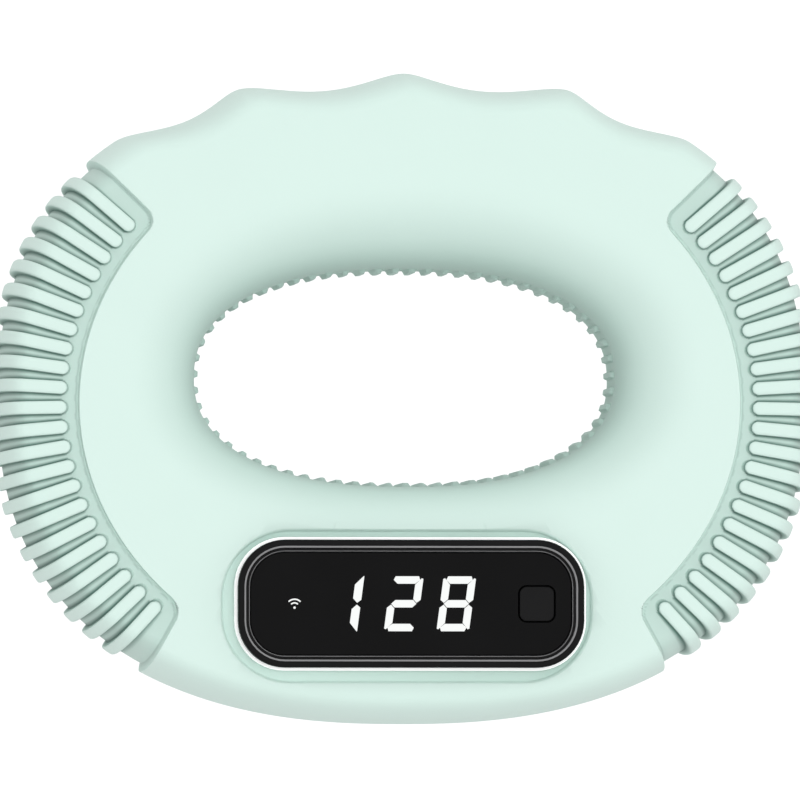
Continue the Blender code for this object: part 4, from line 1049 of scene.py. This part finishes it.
class GRIP_OT_module(bpy.types.Operator):
    """Finish the case, the back cover and everything inside the module"""

    bl_idname = "grip.module"
    bl_label = "Module finishes"

    def execute(self, context):
        settings = context.scene.display_look
        black = bpy.data.materials.get("black_plastic") or moulded("black_plastic", settings.black, 0.32)
        rubber = moulded("black_rubber", (0.016, 0.016, 0.016), 0.72, 0.0004, 0.00003)
        cover = moulded("cover_plastic", (0.014, 0.014, 0.015), 0.48, 0.0003, 0.00003)
        bright = metal("bright_metal", (0.70, 0.70, 0.72), 0.24)
        board = circuit_board()
        film = amber_film()
        package = moulded("grey_package", (0.045, 0.045, 0.048), 0.55, 0.0002, 0.00001)
        # painted light: this is the trim's white plastic, which glows though it is no lamp
        white = bpy.data.materials.get("white_plastic") or moulded("white_plastic", settings.trim, 0.32)
        looks = {
            "module_case": black, "display_mask": rubber, "case_gasket": rubber, "back_cover": cover,
            "battery_tray": cover, "cover_screw_left": bright, "cover_screw_right": bright,
            "board_screw_left": bright, "board_screw_right": bright, "charge_socket": bright,
            "button_switch": bright, "radio_chip": bright, "main_board": board, "charge_board": board,
            "gauge_flex": film, "strain_gauge_left": film, "strain_gauge_right": film,
            "digit_display": package, "gauge_amplifier": package, "link_lamp": white,
            "switch_plunger": white, "link_light_pipe": clear_plastic(), "battery": silver_pouch(),
        }
        for name, look in looks.items():
            node = frame["nodes"][name]
            node.data.materials.clear()
            node.data.materials.append(look)
        for name, width in (("back_cover", 0.00018), ("cover_screw_left", 0.00008),
                            ("cover_screw_right", 0.00008), ("charge_socket", 0.00005)):
            edges = frame["nodes"][name].modifiers.new("edges", "BEVEL")
            edges.width, edges.segments = width, 2
            edges.limit_method, edges.angle_limit = "ANGLE", math.radians(50)
        return {"FINISHED"}


class GRIP_OT_stage(bpy.types.Operator):
    """Set the floor, the soft light and the camera"""

    bl_idname = "grip.stage"
    bl_label = "Stage"

    def execute(self, context):
        scene, settings = context.scene, context.scene.stage_look
        look = Look("studio_floor", Roughness=0.9, Emission_Strength=1.0)
        look.put(look.shader, {"Specular IOR Level": 0.0})
        cloud = look.noise(0.2, 2.0)
        low, high = deeper(settings.backdrop, 0.10), deeper(settings.backdrop, 0.12)
        look.surface(Base_Color=look.mixed(cloud, low, high),
                     Emission_Color=look.mixed(cloud, settings.backdrop, deeper(settings.backdrop, 0.99)))
        floor = linked("studio_floor", loft([(rounded_box(6, 6, 0.5, 0, 0), -0.02),
                                             (rounded_box(6, 6, 0.5, 0, 0), RING_LOW.z)]), look.material)
        floor.visible_glossy = False
        self.add_sun("key_sun", settings.sun, (0.11, 0.09, 1.0), 50)
        for side, way in enumerate(((1, 0), (0, 1), (-1, 0), (0, -1))):
            self.add_sun(f"fill_sun_{side + 1}", settings.fill, (*way, 0.45), 45)
        world = scene.world or bpy.data.worlds.new("studio")
        scene.world = world
        world.use_nodes = True
        sky = world.node_tree.nodes["Background"]
        sky.inputs["Color"].default_value = (1.0, 1.0, 1.0, 1.0)
        sky.inputs["Strength"].default_value = settings.sky
        scene.view_settings.view_transform = "Standard"
        self.add_camera(scene, settings)
        return {"FINISHED"}

    def add_sun(self, name, strength, direction, angle):
        light = bpy.data.lights.new(name, "SUN")
        light.energy, light.angle = strength, math.radians(angle)
        lamp = bpy.data.objects.new(name, light)
        lamp.visible_glossy = False
        lamp.rotation_euler = Vector(direction).to_track_quat("Z", "Y").to_euler()
        bpy.context.scene.collection.objects.link(lamp)

    def add_camera(self, scene, settings):
        camera = bpy.data.cameras.new("camera")
        camera.sensor_width = 36.0
        camera.lens = camera.sensor_width * settings.distance / settings.view_width
        camera.clip_start, camera.clip_end = 0.05, 20.0
        holder = bpy.data.objects.new("camera", camera)
        back = Vector((-math.tan(settings.lean_x), -math.tan(settings.lean_y), 1.0)).normalized()
        holder.location = Vector((-0.0001, -0.0001, MIDDLE_Z)) + back * settings.distance
        right = Vector((0, 1, 0)).cross(back).normalized()
        holder.rotation_euler = Matrix((right, back.cross(right), back)).transposed().to_euler()
        scene.collection.objects.link(holder)
        scene.camera = holder


class GRIP_PT_panel(bpy.types.Panel):
    """Lists the steps that build the grip ring"""

    bl_idname = "GRIP_PT_panel"
    bl_label = "Grip Ring"
    bl_space_type = "VIEW_3D"
    bl_region_type = "UI"
    bl_category = "Grip Ring"

    def draw(self, context):
        for step in STEPS:
            self.layout.operator(step.bl_idname)
        for group in (context.scene.grip_look, context.scene.display_look, context.scene.stage_look):
            column = self.layout.column(align=True)
            for name in type(group).__annotations__:
                column.prop(group, name)


STEPS = (GRIP_OT_skin, GRIP_OT_band, GRIP_OT_bezel, GRIP_OT_lens, GRIP_OT_digits, GRIP_OT_module,
         GRIP_OT_stage)
GROUPS = {"grip_look": GripSettings, "display_look": DisplaySettings, "stage_look": StageSettings}


def register():
    for kind in (*GROUPS.values(), *STEPS, GRIP_PT_panel):
        bpy.utils.register_class(kind)
    for name, kind in GROUPS.items():
        setattr(bpy.types.Scene, name, bpy.props.PointerProperty(type=kind))


def unregister():
    for name in GROUPS:
        delattr(bpy.types.Scene, name)
    for kind in reversed((*GROUPS.values(), *STEPS, GRIP_PT_panel)):
        bpy.utils.unregister_class(kind)


def main():
    register()
    for step in STEPS:
        family, name = step.bl_idname.split(".")
        getattr(getattr(bpy.ops, family), name)()


if __name__ == "__main__":
    main()
